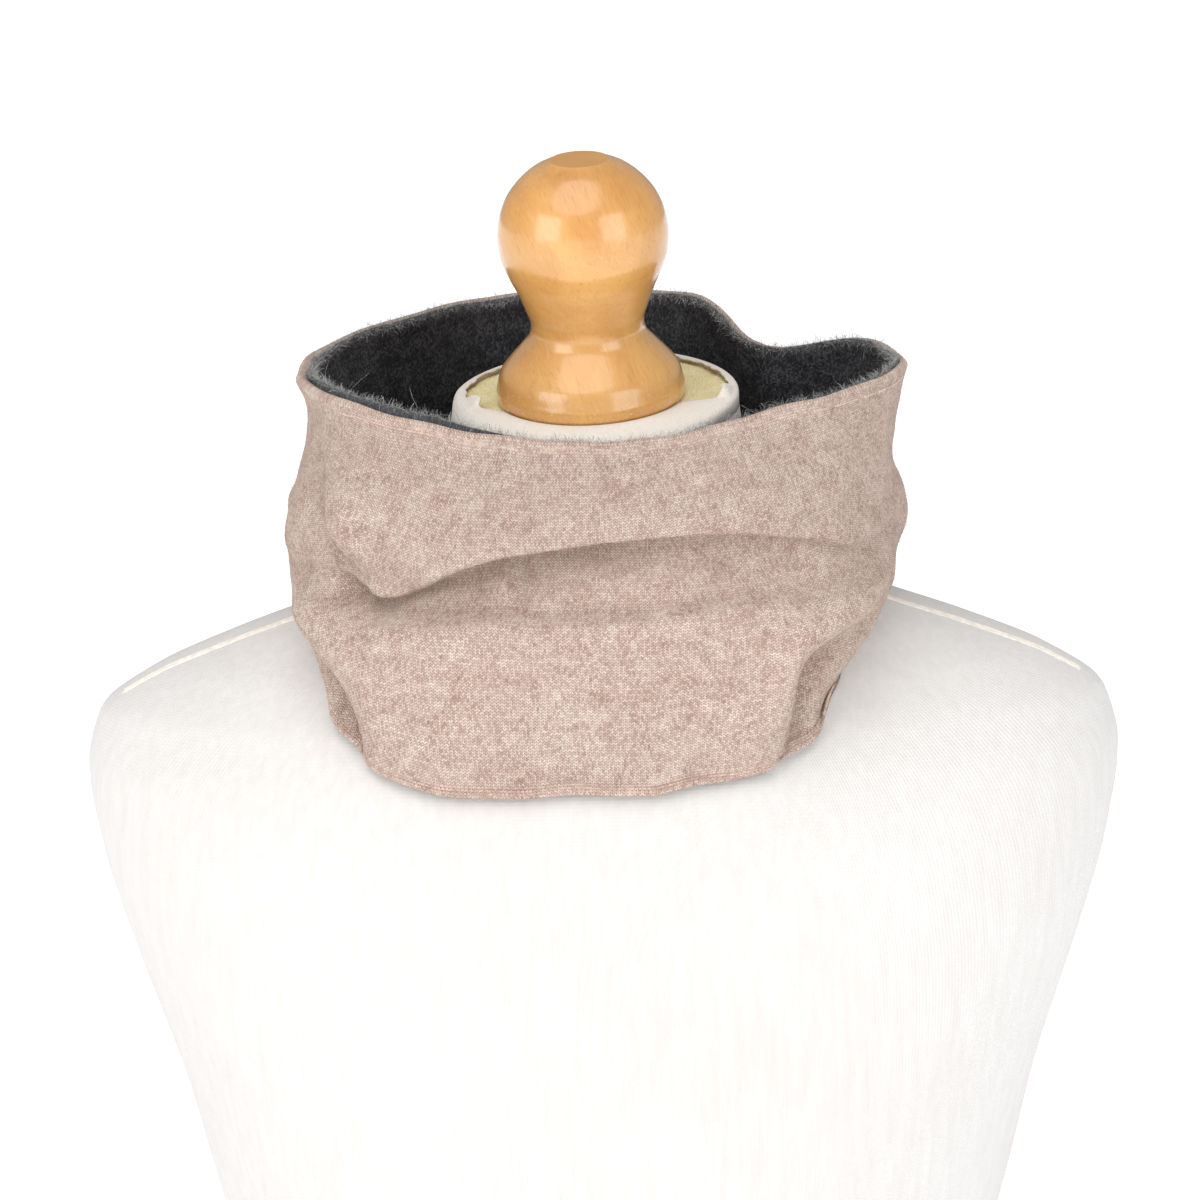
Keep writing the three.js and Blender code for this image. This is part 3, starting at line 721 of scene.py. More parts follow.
def turnedWoodMaterial(name, cut=False):
    # honey-gold varnished wood: slow growth bands, fine short pores, pale nicks round the foot;
    # the cut facet on top has no varnish
    material, bench, shader = newMaterial(name)
    place = bench.add("ShaderNodeTexCoord").outputs["Object"]
    leaning = bench.stretched(place, (1, 1, 1), turn=(0.5, 0.35, 0.2))
    bands = bench.noise(bench.stretched(leaning, (1, 1, 0.16)), 55, 3, 0.5, 0.5)
    pores = bench.noise(bench.stretched(leaning, (1, 0.45, 0.09)), 1500, 2, 0.6)
    turning = bench.noise(bench.stretched(place, (0.02, 0.02, 1)), 1900, 2, 0.5)
    cloud = bench.noise(place, 22, 3)
    ramp = bench.add("ShaderNodeValToRGB", inputs={0: bands})
    ramp.color_ramp.elements[0].position = 0.32
    ramp.color_ramp.elements[0].color = tint(209, 148, 80)
    ramp.color_ramp.elements[1].position = 0.7
    ramp.color_ramp.elements[1].color = tint(231, 177, 103)
    colour = bench.blend(bench.spread(cloud, 0.4, 0.7, 0, 0.45), ramp.outputs[0], tint(214, 148, 74))
    colour = bench.blend(bench.spread(pores, 0.56, 0.74, 0, 0.34), colour, tint(165, 104, 52))
    colour = bench.blend(bench.spread(pores, 0.42, 0.26, 0, 0.22), colour, tint(242, 200, 134))
    split = bench.add("ShaderNodeSeparateXYZ", inputs={0: place})
    low = bench.spread(split.outputs[2], 0.615, 0.603, 0, 1)
    nicks = bench.noise(bench.stretched(place, (1, 1, 1.5)), 620, 3, 0.75)
    wear = bench.maths("MULTIPLY", bench.spread(nicks, 0.615, 0.66, 0, 0.8), low)
    colour = bench.blend(wear, colour, tint(243, 217, 178))
    bench.put(shader.inputs["Base Color"], bench.blend(0.62, colour, tint(205, 152, 92)) if cut else colour)
    bench.put(shader.inputs["Roughness"], bench.spread(bench.noise(place, 160, 3), 0.3, 0.7, 0.3, 0.42))
    shader.inputs["Specular IOR Level"].default_value = 0.2 if cut else 0.5
    shader.inputs["Coat Weight"].default_value = 0.05 if cut else 1.0
    shader.inputs["Coat Roughness"].default_value = 0.4 if cut else 0.16
    grain = bench.bump(pores, 0.06, 0.0003, bench.bump(turning, 0.05, 0.0002))
    scratches = bench.noise(bench.stretched(place, (1, 1, 7), turn=(0.4, 0.2, 0.3)), 130, 2, 0.7)
    dents = bench.bump(scratches, 0.06, 0.0005, grain)
    bench.put(shader.inputs["Normal"], bench.bump(bench.maths("MULTIPLY", wear, -1), 0.4, 0.0005, dents))
    bench.put(shader.inputs["Coat Normal"], bench.bump(scratches, 0.04, 0.0004))
    return material


knitOuter = knitMaterial("heatherKnit", outerKnitLook)
knitLining = knitMaterial("charcoalKnit", liningKnitLook)
beigeYarn = yarnMaterial("beigeYarn", tint(228, 203, 189), tint(184, 155, 140), 0.15)
charcoalYarn = yarnMaterial("charcoalYarn", tint(96, 96, 99), tint(58, 58, 62), 0.2)
greyFluff = yarnMaterial("greyFluff", tint(196, 196, 194), tint(128, 128, 128), 0.2)
creamJersey = jerseyMaterial("creamJersey", tint(226, 224, 222), tint(215, 211, 208))
rawJerseyEdge = yarnMaterial("rawJerseyEdge", tint(250, 244, 235), tint(234, 226, 214), 0.2)
paleFoam = foamMaterial("paleFoam")
honeyWood = turnedWoodMaterial("honeyWood")
cutWood = turnedWoodMaterial("cutWood", cut=True)
print("materials made")


def facingShare(angles, full, fades):
    # 1 between two angles in degrees, fading to 0 over the given degrees on each side
    degrees = np.degrees(angles) % 360
    return (smoothStep((degrees - full[0] + fades[0]) / fades[0])
            * smoothStep((full[1] + fades[1] - degrees) / fades[1]))


def cornerRound(angles):
    # the foam gives the neck a round corner at its front left, and a crisp one elsewhere
    return 1.3 + 5.2 * facingShare(angles, (190, 292), (26, 44))


def makeTorso():
    # one closed skin: base, torso, neck, and the shallow recess for the foam
    s = formSettings
    angles = 2 * np.pi * np.arange(s["columns"]) / s["columns"]
    heights = np.concatenate([[0, 0.8, 2.4, 5], np.linspace(12, 430, 60), np.linspace(436, 553, 64)])
    rings = []
    for height in heights:
        r = torsoRadius(np.full_like(angles, height), angles) - 0.35 * max(0.0, 3.2 * (1 - height / 5)) ** 1.4
        rings.append(np.stack([r * np.cos(angles), r * np.sin(angles), np.full_like(r, height)], -1))
    baseX, baseY = s["neckBase"]
    topX, topY = s["neckTop"]
    corner = cornerRound(angles)
    for share in np.concatenate([np.linspace(0.12, 0.84, 12), np.linspace(0.86, 0.995, 10)]):
        above = (share - 1) * s["neckLength"]
        inset = corner * (1 - np.sqrt(1 - np.clip((above + corner) / corner, 0, 1) ** 2))
        halfX, halfY = baseX + (topX - baseX) * share - inset, baseY + (topY - baseY) * share - inset
        rings.append(neckPlace(share, halfX * np.cos(angles), halfY * np.sin(angles), 0))
    recess = s["foamThickness"] + s["foamBelowRim"]
    wallInset = np.maximum(s["coverRim"], corner + 0.3)
    for inset, above in ((corner, 0), (wallInset, -0.1), (wallInset, -recess / 2), (wallInset, -recess),
                         (20, -recess), (40, -recess)):
        rings.append(neckPlace(1, (topX - inset) * np.cos(angles), (topY - inset) * np.sin(angles), above))
    return cappedPiece("formTorso", np.array(rings), creamJersey)


def cappedPiece(name, rings, material):
    # rings from the underside up, closed at both ends, u round and v along in metres
    count, columns = rings.shape[:2]
    faces, low, col = ringFaces(count, columns)
    travel = np.concatenate([[0], np.linalg.norm(np.diff(rings[:, 0], axis=0), axis=-1).cumsum()]) / 1000
    u = np.arange(columns + 1) / columns
    corners = [(low, col), (low, col + 1), (low + 1, col + 1), (low + 1, col)]
    squares = np.stack([np.stack([u[e], travel[r]], -1) for r, e in corners], 1)
    uvs = [tuple(pair) for face in squares for pair in face]
    points = np.vstack([rings.reshape(-1, 3), rings[0].mean(0), rings[-1].mean(0)])
    bottom, top, last = count * columns, count * columns + 1, (count - 1) * columns
    faces = faces.tolist()
    for j in range(columns):
        k = (j + 1) % columns
        faces += [[k, j, bottom], [last + j, last + k, top]]
        uvs += [(u[j + 1], 0), (u[j], 0), (u[j], 0)]
        uvs += [(u[j], travel[-1]), (u[j + 1], travel[-1]), (u[j], travel[-1])]
    return meshPiece(name, points, faces, uvs, material)


formTorso = makeTorso()
print("form made")

seamSettings = {"halfWidth": 2.1, "height": 0.45, "forward": 9, "from": 62, "to": 186, "steps": 90}


def makeShoulderSeams():
    # a flat felled seam on each shoulder, just in front of the ridge
    s = seamSettings
    points, faces = [], []
    profile = [(-1, -0.4), (-0.85, 0.8), (-0.35, 1), (-0.08, 0.2),
               (0.08, 0.2), (0.35, 1), (0.85, 0.8), (1, -0.4)]
    for side in (-1, 1):
        x = side * np.linspace(s["from"], s["to"], s["steps"])
        y = -s["forward"] - 3 * np.sin(np.linspace(0, np.pi, s["steps"]))
        first = len(points)
        for across, up in profile:
            rowY = y + across * s["halfWidth"]
            line = np.stack([x, rowY, torsoTop(x, rowY)], -1)
            away = awayFromTorso(line)[1]
            points += list(line + away * (up * s["height"]))
        n, m = s["steps"], len(profile)
        for k in range(m):
            a, b = first + k * n, first + ((k + 1) % m) * n
            for i in range(n - 1):
                quad = [a + i, a + i + 1, b + i + 1, b + i]
                faces.append(quad if side > 0 else quad[::-1])
        for i in (0, n - 1):
            ring = [first + k * n + i for k in range(m)]
            faces.append(ring if (i == 0) == (side > 0) else ring[::-1])
    piece = meshPiece("shoulderSeams", points, faces, None, rawJerseyEdge)
    return outwards(piece)


def outwards(piece):
    # turns every closed shell's faces outwards
    work = bmesh.new()
    work.from_mesh(piece.data)
    bmesh.ops.recalc_face_normals(work, faces=work.faces)
    work.to_mesh(piece.data)
    work.free()
    return piece


shoulderSeams = makeShoulderSeams()

finialSettings = {"columns": 112, "across": -1.4, "back": 0.8, "facetRadius": 11.4}

coverSettings = {
    "columns": 300, "lift": 0.55, "thickness": 0.5, "drop": 5, "edge": 1.7, "footRadius": 36.75,
    # folded tabs: angle, half width in degrees, how far in they reach, how much they stand up
    "tabs": [(186, 5.5, 3.2, 2.6), (352, 6, 3.4, 3.0), (120, 9, 1.4, 0.4), (62, 7, 1.2, 0.4),
             (24, 5, 1.6, 0.6)],
}


def makeNeckCoverEdge():
    # the cover drawn over the neck: in to the finial's foot at the front, cut ragged and turned
    # over the rim at the sides and back, with small folded tabs
    s, f = coverSettings, formSettings
    angles = 2 * np.pi * np.arange(s["columns"]) / s["columns"]
    degrees = np.degrees(angles)
    topX, topY = f["neckTop"]
    corner = cornerRound(angles)
    tries = np.linspace(8, 26, 400)[:, None]
    footAway = np.hypot((topX - tries) * np.cos(angles) - finialSettings["across"],
                        (topY - tries) * np.sin(angles) - finialSettings["back"])
    footInset = tries[np.argmax(footAway <= s["footRadius"], axis=0), 0]
    front = facingShare(angles, (208, 333), (20, 17))
    ragged = 0.5 * np.sin(9 * angles + 1) + 0.35 * np.sin(23 * angles + 2.2) + 0.3 * np.sin(47 * angles)
    edge = corner + s["edge"] + np.maximum(ragged, -0.9)
    stand = np.zeros_like(angles)
    for at, half, deep, rise in s["tabs"]:
        near = np.exp(-(((degrees - at + 180) % 360 - 180) / half) ** 4)
        edge += near * deep * (0.85 + 0.15 * np.sin(31 * angles))
        stand += near * rise
    reach = edge + front * (footInset - edge)
    puff = 0.9 * front + 0.25 * np.sin(5 * angles + 1) * front
    top = [(-s["lift"], -corner - s["drop"])]
    for turn in np.radians([0, 18, 36, 54, 72, 90]):
        top.append((corner * (1 - np.cos(turn)) - s["lift"] * np.cos(turn), -corner * (1 - np.sin(turn))
                    + s["lift"] * np.sin(turn)))
    for share in np.linspace(0, 1, 9)[1:]:
        top.append((corner + (reach - corner) * share,
                    s["lift"] + puff * np.sin(np.pi * share) + stand * np.sin(2.0 * share)
                    - 0.35 * share * front))
    under = [(inset + s["thickness"] * 0.9 * (k < 5), above - s["thickness"] * (k > 1))
             for k, (inset, above) in enumerate(top)]
    profile = top + under[::-1]
    rings = np.array([neckPlace(1, (topX - inset) * np.cos(angles), (topY - inset) * np.sin(angles), above)
                      for inset, above in profile])
    faces, low, col = ringFaces(len(rings), s["columns"], closed=True)
    travel = np.concatenate([[0], np.linalg.norm(np.diff(rings[:, 225], axis=0), axis=-1).cumsum()]) / 1000
    around = 0.34 * np.arange(s["columns"] + 1) / s["columns"]
    high = (low + 1) % len(rings)
    corners = [(low, col), (low, col + 1), (high, col + 1), (high, col)]
    uvs = np.stack([np.stack([around[e], travel[r]], -1) for r, e in corners], 1)
    flat = rings.reshape(-1, 3)
    faces, uvs = facedOut(flat, faces, uvs)
    return meshPiece("neckCoverEdge", flat, faces, uvs, creamJersey)


neckCoverEdge = makeNeckCoverEdge()


def makeFoamTop():
    # the foam plug, a little hollow and uneven where the finial doesn't press on it
    s = formSettings
    angles = 2 * np.pi * np.arange(120) / 120
    inset = np.maximum(s["coverRim"] + s["seamGap"], cornerRound(angles) + 0.6)
    halfX, halfY = s["neckTop"][0] - inset, s["neckTop"][1] - inset
    low = -(s["foamThickness"] + s["foamBelowRim"]) + s["seamGap"]
    rings = [neckPlace(1, halfX * np.cos(angles), halfY * np.sin(angles), above)
             for above in (low, low + 3, low + 6)]
    for share in np.linspace(1, 0.04, 22):
        bumps = 0.1 * np.sin(13 * angles + 40 * share) * np.sin(29 * share + 3 * angles)
        dip = -s["foamBelowRim"] - 0.2 - 0.25 * smoothStep((share - 0.8) / 0.2) + bumps
        rings.append(neckPlace(1, share * halfX * np.cos(angles), share * halfY * np.sin(angles), dip))
    return cappedPiece("foamTop", np.array(rings), paleFoam)


foamTop = makeFoamTop()

finialOutline = np.array([
    [35.2, 0], [36.3, 1.4], [36.3, 4.8], [35.8, 6.7], [34.5, 11.2], [30.3, 16.7], [26.2, 21.2], [22.6, 25.8],
    [21.7, 29.1], [21.9, 32.0], [23.2, 35.8], [26.1, 43.6], [29.8, 51.6], [32.0, 58.3], [32.6, 65.0],
    [31.8, 71.6], [29.0, 79.3], [24.0, 86.0], [18.0, 91.0], [11.4, 94.2],
])


def makeFinial():
    s = finialSettings
    lengths = np.concatenate([[0], np.linalg.norm(np.diff(finialOutline, axis=0), axis=-1).cumsum()])
    at = np.linspace(0, lengths[-1], 130)
    radius = smoothCurve(lengths, finialOutline[:, 0], at)
    height = smoothCurve(lengths, finialOutline[:, 1], at)
    angles = 2 * np.pi * np.arange(s["columns"]) / s["columns"]
    profile = [(20, 0), (radius[0] - 0.5, 0), (radius[0], 0.3)] + list(zip(radius[2:], height[2:]))
    profile += [(11.25, 94.3), (11.0, 94.34), (8, 94.36), (5, 94.36), (1.5, 94.36)]
    foot = formSettings["seamGap"] - formSettings["foamBelowRim"]
    rings = [neckPlace(1, s["across"] + r * np.cos(angles), s["back"] + r * np.sin(angles), foot + h)
             for r, h in profile]
    piece = cappedPiece("turnedFinial", np.array(rings), honeyWood)
    piece.data.materials.append(cutWood)
    facetFrom = (len(profile) - 4) * s["columns"]
    for polygon in piece.data.polygons:
        if min(polygon.vertices) >= facetFrom:
            polygon.material_index, polygon.use_smooth = 1, False
    return piece


turnedFinial = makeFinial()
print("neck and finial made")

# the two knitted tubes
wornSurface = clothSurface()
wornNormals = softened(gridNormals(wornSurface), 3)
wornNormals /= np.linalg.norm(wornNormals, axis=-1, keepdims=True)
roundAngles = np.linspace(0, 2 * np.pi, clothSettings["columns"], endpoint=False)
# the linked edge is a roll, fattest where the rim turns at the two sides
rimSwell = 1.1 + 2.0 * facingShare(roundAngles, (174, 200), (16, 16)) + 0.25 * np.sin(9 * roundAngles + 1)
rimSwell += 1.2 * facingShare(roundAngles, (338, 352), (12, 12))
knittedOuter = shellPiece("knittedOuter", wornSurface, wornNormals, 0.0,
                          clothSettings["outerThickness"], 0.0, rimSwell, knitOuter)[0]
# the outer knit gets its painted crease shade
paintCreaseShade(knittedOuter, wornSurface, wornNormals)
liningRise = 0.2 + 0.5 * np.clip(-np.sin(roundAngles), 0, 1) + 0.2 * np.sin(17 * roundAngles)
liningRise += 2.6 * facingShare(roundAngles, (198, 228), (18, 26))
liningRows = list(range(0, 12)) + list(range(12, clothSettings["rows"] - 5, 2))
behindRim = (0.74 * rimSwell * np.clip(1 - np.arange(len(liningRows)) / 5, 0, 1)[:, None])[..., None]
liningNormals = wornNormals[liningRows]
knittedLining, liningFace = shellPiece("knittedLining", wornSurface[liningRows], liningNormals,
                                       clothSettings["liningStart"] + behindRim,
                                       clothSettings["liningThickness"], liningRise, 0.4, knitLining)
print("tubes made")


# loose work that follows the cloth, made by geometry nodes

def newTree(name, sockets):
    tree = bpy.data.node_groups.new(name, "GeometryNodeTree")
    tree.interface.new_socket(name="Geometry", in_out="INPUT", socket_type="NodeSocketGeometry")
    tree.interface.new_socket(name="Geometry", in_out="OUTPUT", socket_type="NodeSocketGeometry")
    for label, kind in sockets:
        tree.interface.new_socket(name=label, in_out="INPUT", socket_type="NodeSocket" + kind)
    bench = NodeBench(tree)
    return tree, bench, bench.add("NodeGroupInput"), bench.add("NodeGroupOutput")


def grown(piece, tree, values):
    # runs the tree on a piece and keeps the result as its own plain mesh
    modifier = piece.modifiers.new(tree.name, "NODES")
    modifier.node_group = tree
    for item in tree.interface.items_tree:
        if item.item_type == "SOCKET" and item.in_out == "INPUT" and item.name in values:
            modifier[item.identifier] = values[item.name]
    graph = bpy.context.evaluated_depsgraph_get()
    graph.update()
    mesh = bpy.data.meshes.new_from_object(piece.evaluated_get(graph))
    piece.modifiers.clear()
    mesh.materials.clear()
    mesh.materials.append(values["Material"])
    old = piece.data
    piece.data = mesh
    if old.users == 0:
        bpy.data.meshes.remove(old)
    for polygon in mesh.polygons:
        polygon.use_smooth = True
    print(piece.name, "has", len(mesh.polygons), "faces")
    return piece


def loopRow(name, points, facing):
    # a closed line that carries the way each place faces
    mesh = bpy.data.meshes.new(name)
    count = len(points)
    mesh.from_pydata((points * mm).tolist(), [(i, (i + 1) % count) for i in range(count)], [])
    layer = mesh.attributes.new("facing", "FLOAT_VECTOR", "POINT")
    layer.data.foreach_set("vector", facing.astype(np.float32).ravel())
    piece = bpy.data.objects.new(name, mesh)
    bpy.context.scene.collection.objects.link(piece)
    return piece


def stitchRowTree():
    # V stitches laid along a closed line, two small lozenges to a stitch
    tree, bench, given, result = newTree("stitchRow", [
        ("Count", "Int"), ("Length", "Float"), ("Width", "Float"), ("Height", "Float"), ("Slant", "Float"),
        ("Material", "Material")])
    count, length, width, height, slant, material = (given.outputs[k] for k in (
        "Count", "Length", "Width", "Height", "Slant", "Material"))
    curve = bench.add("GeometryNodeMeshToCurve", inputs={0: given.outputs["Geometry"]})
    even = bench.add("GeometryNodeResampleCurve", mode="COUNT", inputs={
        "Curve": curve.outputs[0], "Count": count})
    tangent = bench.add("GeometryNodeInputTangent").outputs[0]
    facing = bench.add("GeometryNodeInputNamedAttribute", data_type="FLOAT_VECTOR", inputs={"Name": "facing"})
    turned = bench.add("FunctionNodeAxesToRotation", primary_axis="Z", secondary_axis="X", inputs={
        "Primary Axis": facing.outputs[0], "Secondary Axis": tangent})
    lozenge = bench.add("GeometryNodeMeshIcoSphere", inputs={"Radius": 1.0, "Subdivisions": 1})
    size = bench.add("ShaderNodeCombineXYZ", inputs={0: width, 1: length, 2: height}).outputs[0]
    legs = bench.add("GeometryNodeJoinGeometry")
    for side in (-1, 1):
        lean = bench.add("ShaderNodeCombineXYZ", inputs={2: bench.maths("MULTIPLY", slant, side)}).outputs[0]
        away = bench.add("ShaderNodeCombineXYZ", inputs={
            0: bench.maths("MULTIPLY", width, 0.85 * side)}).outputs[0]
        scaled = bench.add("GeometryNodeTransform", inputs={
            "Geometry": lozenge.outputs[0], "Scale": size})
        placed = bench.add("GeometryNodeTransform", inputs={
            "Geometry": scaled.outputs[0], "Rotation": lean, "Translation": away})
        bench.put(legs.inputs[0], placed.outputs[0])
    random = bench.add("FunctionNodeRandomValue", data_type="FLOAT", inputs={2: 0.82, 3: 1.15, "Seed": 4})
    laid = bench.add("GeometryNodeInstanceOnPoints", inputs={
        "Points": even.outputs[0], "Instance": legs.outputs[0], "Rotation": turned.outputs[0],
        "Scale": random.outputs[1]})
    real = bench.add("GeometryNodeRealizeInstances", inputs={0: laid.outputs[0]})
    done = bench.add("GeometryNodeSetMaterial", inputs={0: real.outputs[0], "Material": material})
    bench.put(result.inputs[0], done.outputs[0])
    return tree


def joined(name, pieces):
    # several plain meshes as one piece
    points, faces = [], []
    material = pieces[0].data.materials[0]
    for piece in pieces:
        first = len(points)
        points += [tuple(v.co / mm) for v in piece.data.vertices]
        faces += [[first + k for k in polygon.vertices] for polygon in piece.data.polygons]
        bpy.data.objects.remove(piece)
    return meshPiece(name, points, faces, None, material)


def alongCloth(face, normals, fromRim, out):
    # points a distance below the rim (or above the hem when negative) and a little off the face
    steps = np.linalg.norm(np.diff(face, axis=0), axis=-1).cumsum(0)
    travel = np.concatenate([np.zeros((1, face.shape[1])), steps])
    target = fromRim if fromRim >= 0 else travel[-1] + fromRim
    points, facing = [], []
    for j in range(face.shape[1]):
        at = target if np.ndim(target) == 0 else target[j]
        points.append([np.interp(at, travel[:, j], face[:, j, k]) for k in range(3)])
        facing.append([np.interp(at, travel[:, j], normals[:, j, k]) for k in range(3)])
    points, facing = np.array(points), np.array(facing)
    facing /= np.linalg.norm(facing, axis=-1, keepdims=True)
    return points + facing * out, facing


# rows in millimetres below the rim and above the hem; the stitch's own sizes are in metres
linkingSettings = {
    "rows": [0.5, 1.9, 3.2], "hemRows": [-0.6, -1.9, -3.2], "out": 0.05,
    "stitch": {"Count": 460, "Length": 0.0006, "Width": 0.0003, "Height": 0.0002, "Slant": 0.6},
}
stitchTree = stitchRowTree()


def linkingRows(name, rows):
    made = []
    for k, below in enumerate(rows):
        points, facing = alongCloth(wornSurface, wornNormals, below, linkingSettings["out"])
        row = loopRow(f"{name}{k}", points, facing)
        made.append(grown(row, stitchTree, {**linkingSettings["stitch"], "Material": beigeYarn}))
    return joined(name, made)


rimLinking = linkingRows("rimLinking", linkingSettings["rows"])
hemLinking = linkingRows("hemLinking", linkingSettings["hemRows"])


def fuzzTree():
    # fine bent ribbons scattered over a face, each turned and sized at random
    tree, bench, given, result = newTree("fuzz", [
        ("Density", "Float"), ("Length", "Float"), ("Thickness", "Float"), ("Lean", "Float"),
        ("Seed", "Int"),
        ("Material", "Material")])
    spots = bench.add("GeometryNodeDistributePointsOnFaces", inputs={
        "Mesh": given.outputs["Geometry"], "Density": given.outputs["Density"], "Seed": given.outputs["Seed"]})
    hair = bench.add("GeometryNodeCurveQuadraticBezier", inputs={"Resolution": 3})
    length = given.outputs["Length"]
    bench.put(hair.inputs["Start"], (0, 0, 0))
    bench.put(hair.inputs["Middle"], bench.add("ShaderNodeCombineXYZ", inputs={
        2: bench.maths("MULTIPLY", length, 0.6)}).outputs[0])
    bench.put(hair.inputs["End"], bench.add("ShaderNodeCombineXYZ", inputs={
        0: bench.maths("MULTIPLY", length, 0.7), 1: bench.maths("MULTIPLY", length, 0.2),
        2: bench.maths("MULTIPLY", length, 0.75)}).outputs[0])
    half = bench.maths("MULTIPLY", given.outputs["Thickness"], 0.5)
    flat = bench.add("GeometryNodeCurvePrimitiveLine")
    bench.put(flat.inputs["Start"], bench.add("ShaderNodeCombineXYZ", inputs={
        0: bench.maths("MULTIPLY", half, -1)}).outputs[0])
    bench.put(flat.inputs["End"], bench.add("ShaderNodeCombineXYZ", inputs={0: half}).outputs[0])
    ribbon = bench.add("GeometryNodeCurveToMesh", inputs={
        "Curve": hair.outputs[0], "Profile Curve": flat.outputs[0]})
    turn = bench.add("FunctionNodeRandomValue", data_type="FLOAT_VECTOR")
    lean = given.outputs["Lean"]
    back = bench.maths("MULTIPLY", lean, -1)
    for k, (way, whirl) in enumerate(((back, 0.0), (lean, 2 * math.pi))):
        bench.put(turn.inputs[k], bench.add("ShaderNodeCombineXYZ", inputs={
            0: way, 1: way, 2: whirl}).outputs[0])
    bench.put(turn.inputs["Seed"], given.outputs["Seed"])
    local = bench.add("FunctionNodeEulerToRotation", inputs={0: turn.outputs[0]})
    whole = bench.add("FunctionNodeRotateRotation", rotation_space="LOCAL", inputs={
        0: spots.outputs["Rotation"], 1: local.outputs[0]})
    size = bench.add("FunctionNodeRandomValue", data_type="FLOAT", inputs={2: 0.35, 3: 1.25, "Seed": 9})
    laid = bench.add("GeometryNodeInstanceOnPoints", inputs={
        "Points": spots.outputs["Points"], "Instance": ribbon.outputs[0], "Rotation": whole.outputs[0],
        "Scale": size.outputs[1]})
    real = bench.add("GeometryNodeRealizeInstances", inputs={0: laid.outputs[0]})
    done = bench.add("GeometryNodeSetMaterial", inputs={
        0: real.outputs[0], "Material": given.outputs["Material"]})
    bench.put(result.inputs[0], done.outputs[0])
    return tree


fuzzGrower = fuzzTree()
fuzzSettings = {
    "outerFuzz": {"Density": 190000.0, "Length": 0.0019, "Thickness": 0.00007, "Lean": 1.2, "Seed": 3},
    "liningFuzz": {"Density": 330000.0, "Length": 0.0022, "Thickness": 0.00006, "Lean": 1.2, "Seed": 8},
    "rimHairs": {"Density": 6000000.0, "Length": 0.003, "Thickness": 0.00009, "Lean": 1.2, "Seed": 21},
    "longHairs": {"Density": 60000.0, "Length": 0.0095, "Thickness": 0.00007, "Lean": 1.0, "Seed": 5},
}


def openPatch(name, face, normals, firstRow, lastRow, inward):
    # part of a face, for the fuzz to grow on
    rows = face[firstRow:lastRow]
    faces = ringFaces(len(rows), face.shape[1])[0]
    points = rows.reshape(-1, 3)
    piece = meshPiece(name, points, faces)
    facing = np.cross(points[faces[:, 1]] - points[faces[:, 0]], points[faces[:, 3]] - points[faces[:, 0]])
    agree = np.einsum("ij,ij->i", facing, normals[firstRow:lastRow][:-1].reshape(-1, 3)).sum()
    if (agree > 0) == inward:
        piece.data.flip_normals()
    return piece


def fuzz(name, patch, material):
    return grown(patch, fuzzGrower, {**fuzzSettings[name], "Material": material})


liningInside = liningFace - clothSettings["liningThickness"] * liningNormals
outerFuzz = fuzz("outerFuzz", openPatch("outerFuzz", wornSurface, wornNormals, 0, None, False), beigeYarn)
liningFuzz = fuzz("liningFuzz", openPatch("liningFuzz", liningInside, liningNormals, 0, 34, True),
                  charcoalYarn)
# the top of the lining's edge, where most of the loose fluff stands
liningUp = liningFace[0] - liningFace[1]
liningUp /= np.linalg.norm(liningUp, axis=-1, keepdims=True)
rimTopSettings = {"turns": np.radians([-25, 10, 45, 80, 115, 150]), "inset": 0.9, "radius": 0.95}
topNormals = np.stack([-math.cos(a) * liningNormals[0] + math.sin(a) * liningUp
                       for a in rimTopSettings["turns"]])
topFace = liningFace[0] - rimTopSettings["inset"] * liningNormals[0] + rimTopSettings["radius"] * topNormals
rimHairs = fuzz("rimHairs", openPatch("rimHairs", topFace, topNormals, 0, None, False), greyFluff)
longHairs = fuzz("longHairs", openPatch("longHairs", topFace, topNormals, 0, None, False), greyFluff)
print("fuzz made")

# stage, light and camera
stageSettings = {"floorHalf": 30, "pale": tint(250, 251, 252)}


def makeFloor():
    material, bench, shader = newMaterial("paleFloor")
    place = bench.add("ShaderNodeTexCoord").outputs["Object"]
    colour = bench.blend(bench.noise(place, 2), stageSettings["pale"], tint(252, 252, 253))
    bench.settle(shader, baseColor=colour, roughness=1, specularIORLevel=0, emissionColor=(0.96, 0.98, 1, 1),
                 emissionStrength=lightSettings["floorGlow"])
    half = stageSettings["floorHalf"] / mm
    points = [(-half, -half, 0), (half, -half, 0), (half, half, 0), (-half, half, 0)]
    return meshPiece("floor", points, [(0, 1, 2, 3)], None, material)


def makeLight(name, kind, place, aim, energy, size, colour):
    light = bpy.data.lights.new(name, kind)
    light.energy = energy
    light.color = colour
    if kind == "AREA":
        light.shape = "SQUARE"
        light.size = size
    else:
        light.angle = size
    lamp = bpy.data.objects.new(name, light)
    bpy.context.scene.collection.objects.link(lamp)
    lamp.location = place
    lamp.rotation_euler = (Vector(aim) - Vector(place)).to_track_quat("-Z", "Y").to_euler()
    return lamp


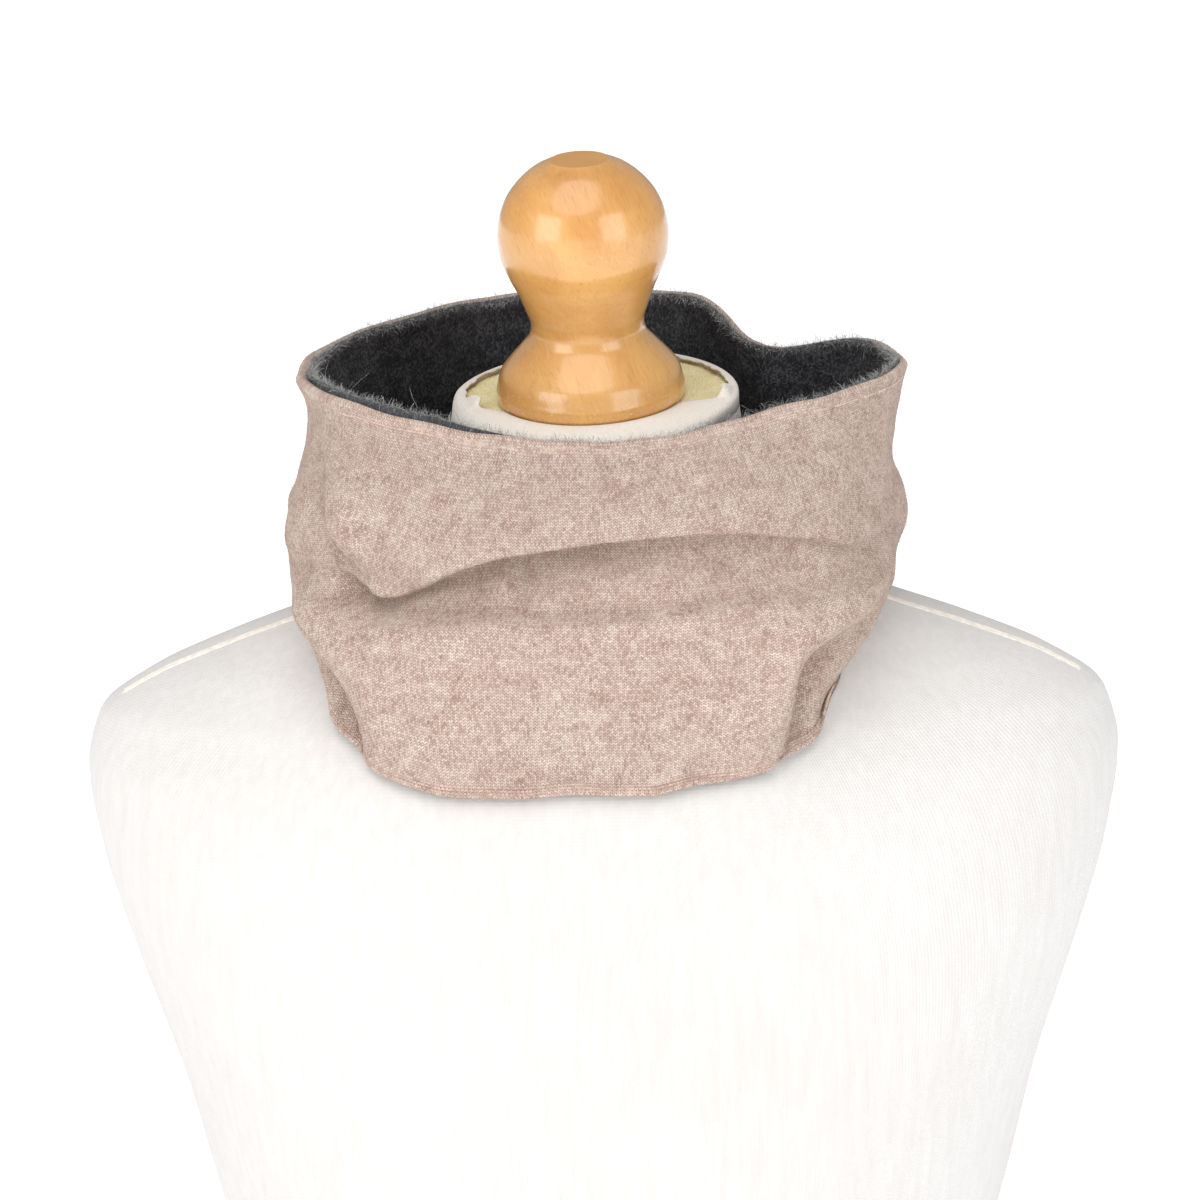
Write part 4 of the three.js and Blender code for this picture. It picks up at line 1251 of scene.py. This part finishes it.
lightSettings = {"world": 0.33, "key": 15, "fill": 12.5, "top": 1.35, "floorGlow": 0.5}
floor = makeFloor()
world = bpy.data.worlds.new("paleRoom")
bpy.context.scene.world = world
world.use_nodes = True
background = world.node_tree.nodes["Background"]
background.inputs["Color"].default_value = (0.97, 0.985, 1, 1)
background.inputs["Strength"].default_value = lightSettings["world"]
for name, kind, place, aimHeight, energy, size, colour in (
    ("softboxLeft", "AREA", (-1.4, -1.25, 1.1), 0.6, "key", 1.2, (1, 0.99, 0.98)),
    ("softboxRight", "AREA", (1.27, -1.38, 1.1), 0.6, "fill", 1.2, (1, 1, 1)),
    ("topLight", "SUN", (-0.25, -1.1, 2.9), 0.5, "top", math.radians(55), (1, 1, 1)),
):
    makeLight(name, kind, place, (0, 0, aimHeight), lightSettings[energy], size, colour)
bpy.context.scene.view_settings.view_transform = "Standard"

cameraSettings = {
    "elevation": math.radians(12), "roll": math.radians(1.4), "distance": 1.7, "aim": (0, 0, 0.52),
    "focal": 131.1, "sensor": 36, "seesTo": 100,
}


def makeCamera():
    s = cameraSettings
    ahead = Vector((0, math.cos(s["elevation"]), -math.sin(s["elevation"])))
    level, upright = Vector((1, 0, 0)), Vector((0, math.sin(s["elevation"]), math.cos(s["elevation"])))
    c, r = math.cos(s["roll"]), math.sin(s["roll"])
    right, up = c * level - r * upright, r * level + c * upright
    lens = bpy.data.cameras.new("camera")
    lens.lens, lens.sensor_width, lens.clip_end = s["focal"], s["sensor"], s["seesTo"]
    lens.sensor_fit = "HORIZONTAL"
    camera = bpy.data.objects.new("camera", lens)
    bpy.context.scene.collection.objects.link(camera)
    turn = Matrix((right, up, -ahead)).transposed().to_4x4()
    camera.matrix_world = Matrix.Translation(Vector(s["aim"]) - ahead * s["distance"]) @ turn
    bpy.context.scene.camera = camera


makeCamera()

# each piece with the solid that it stands for, if any, and the slot of its finish
for piece, node, slotName in (
    (knittedOuter, "outer_tube", "outer_knit"), (rimLinking, "", "outer_knit"),
    (hemLinking, "", "outer_knit"), (outerFuzz, "", "outer_knit"),
    (knittedLining, "lining_tube", "lining_knit"), (liningFuzz, "", "lining_knit"),
    (rimHairs, "", "lining_knit"), (longHairs, "", "lining_knit"),
    (formTorso, "form_body", "form_cover"), (shoulderSeams, "", "form_cover"),
    (neckCoverEdge, "", "form_cover"), (foamTop, "neck_foam", "foam"),
    (turnedFinial, "finial", "turned_wood"),
):
    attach(piece, "root")
    if node:
        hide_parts(node)

print("scene ready")
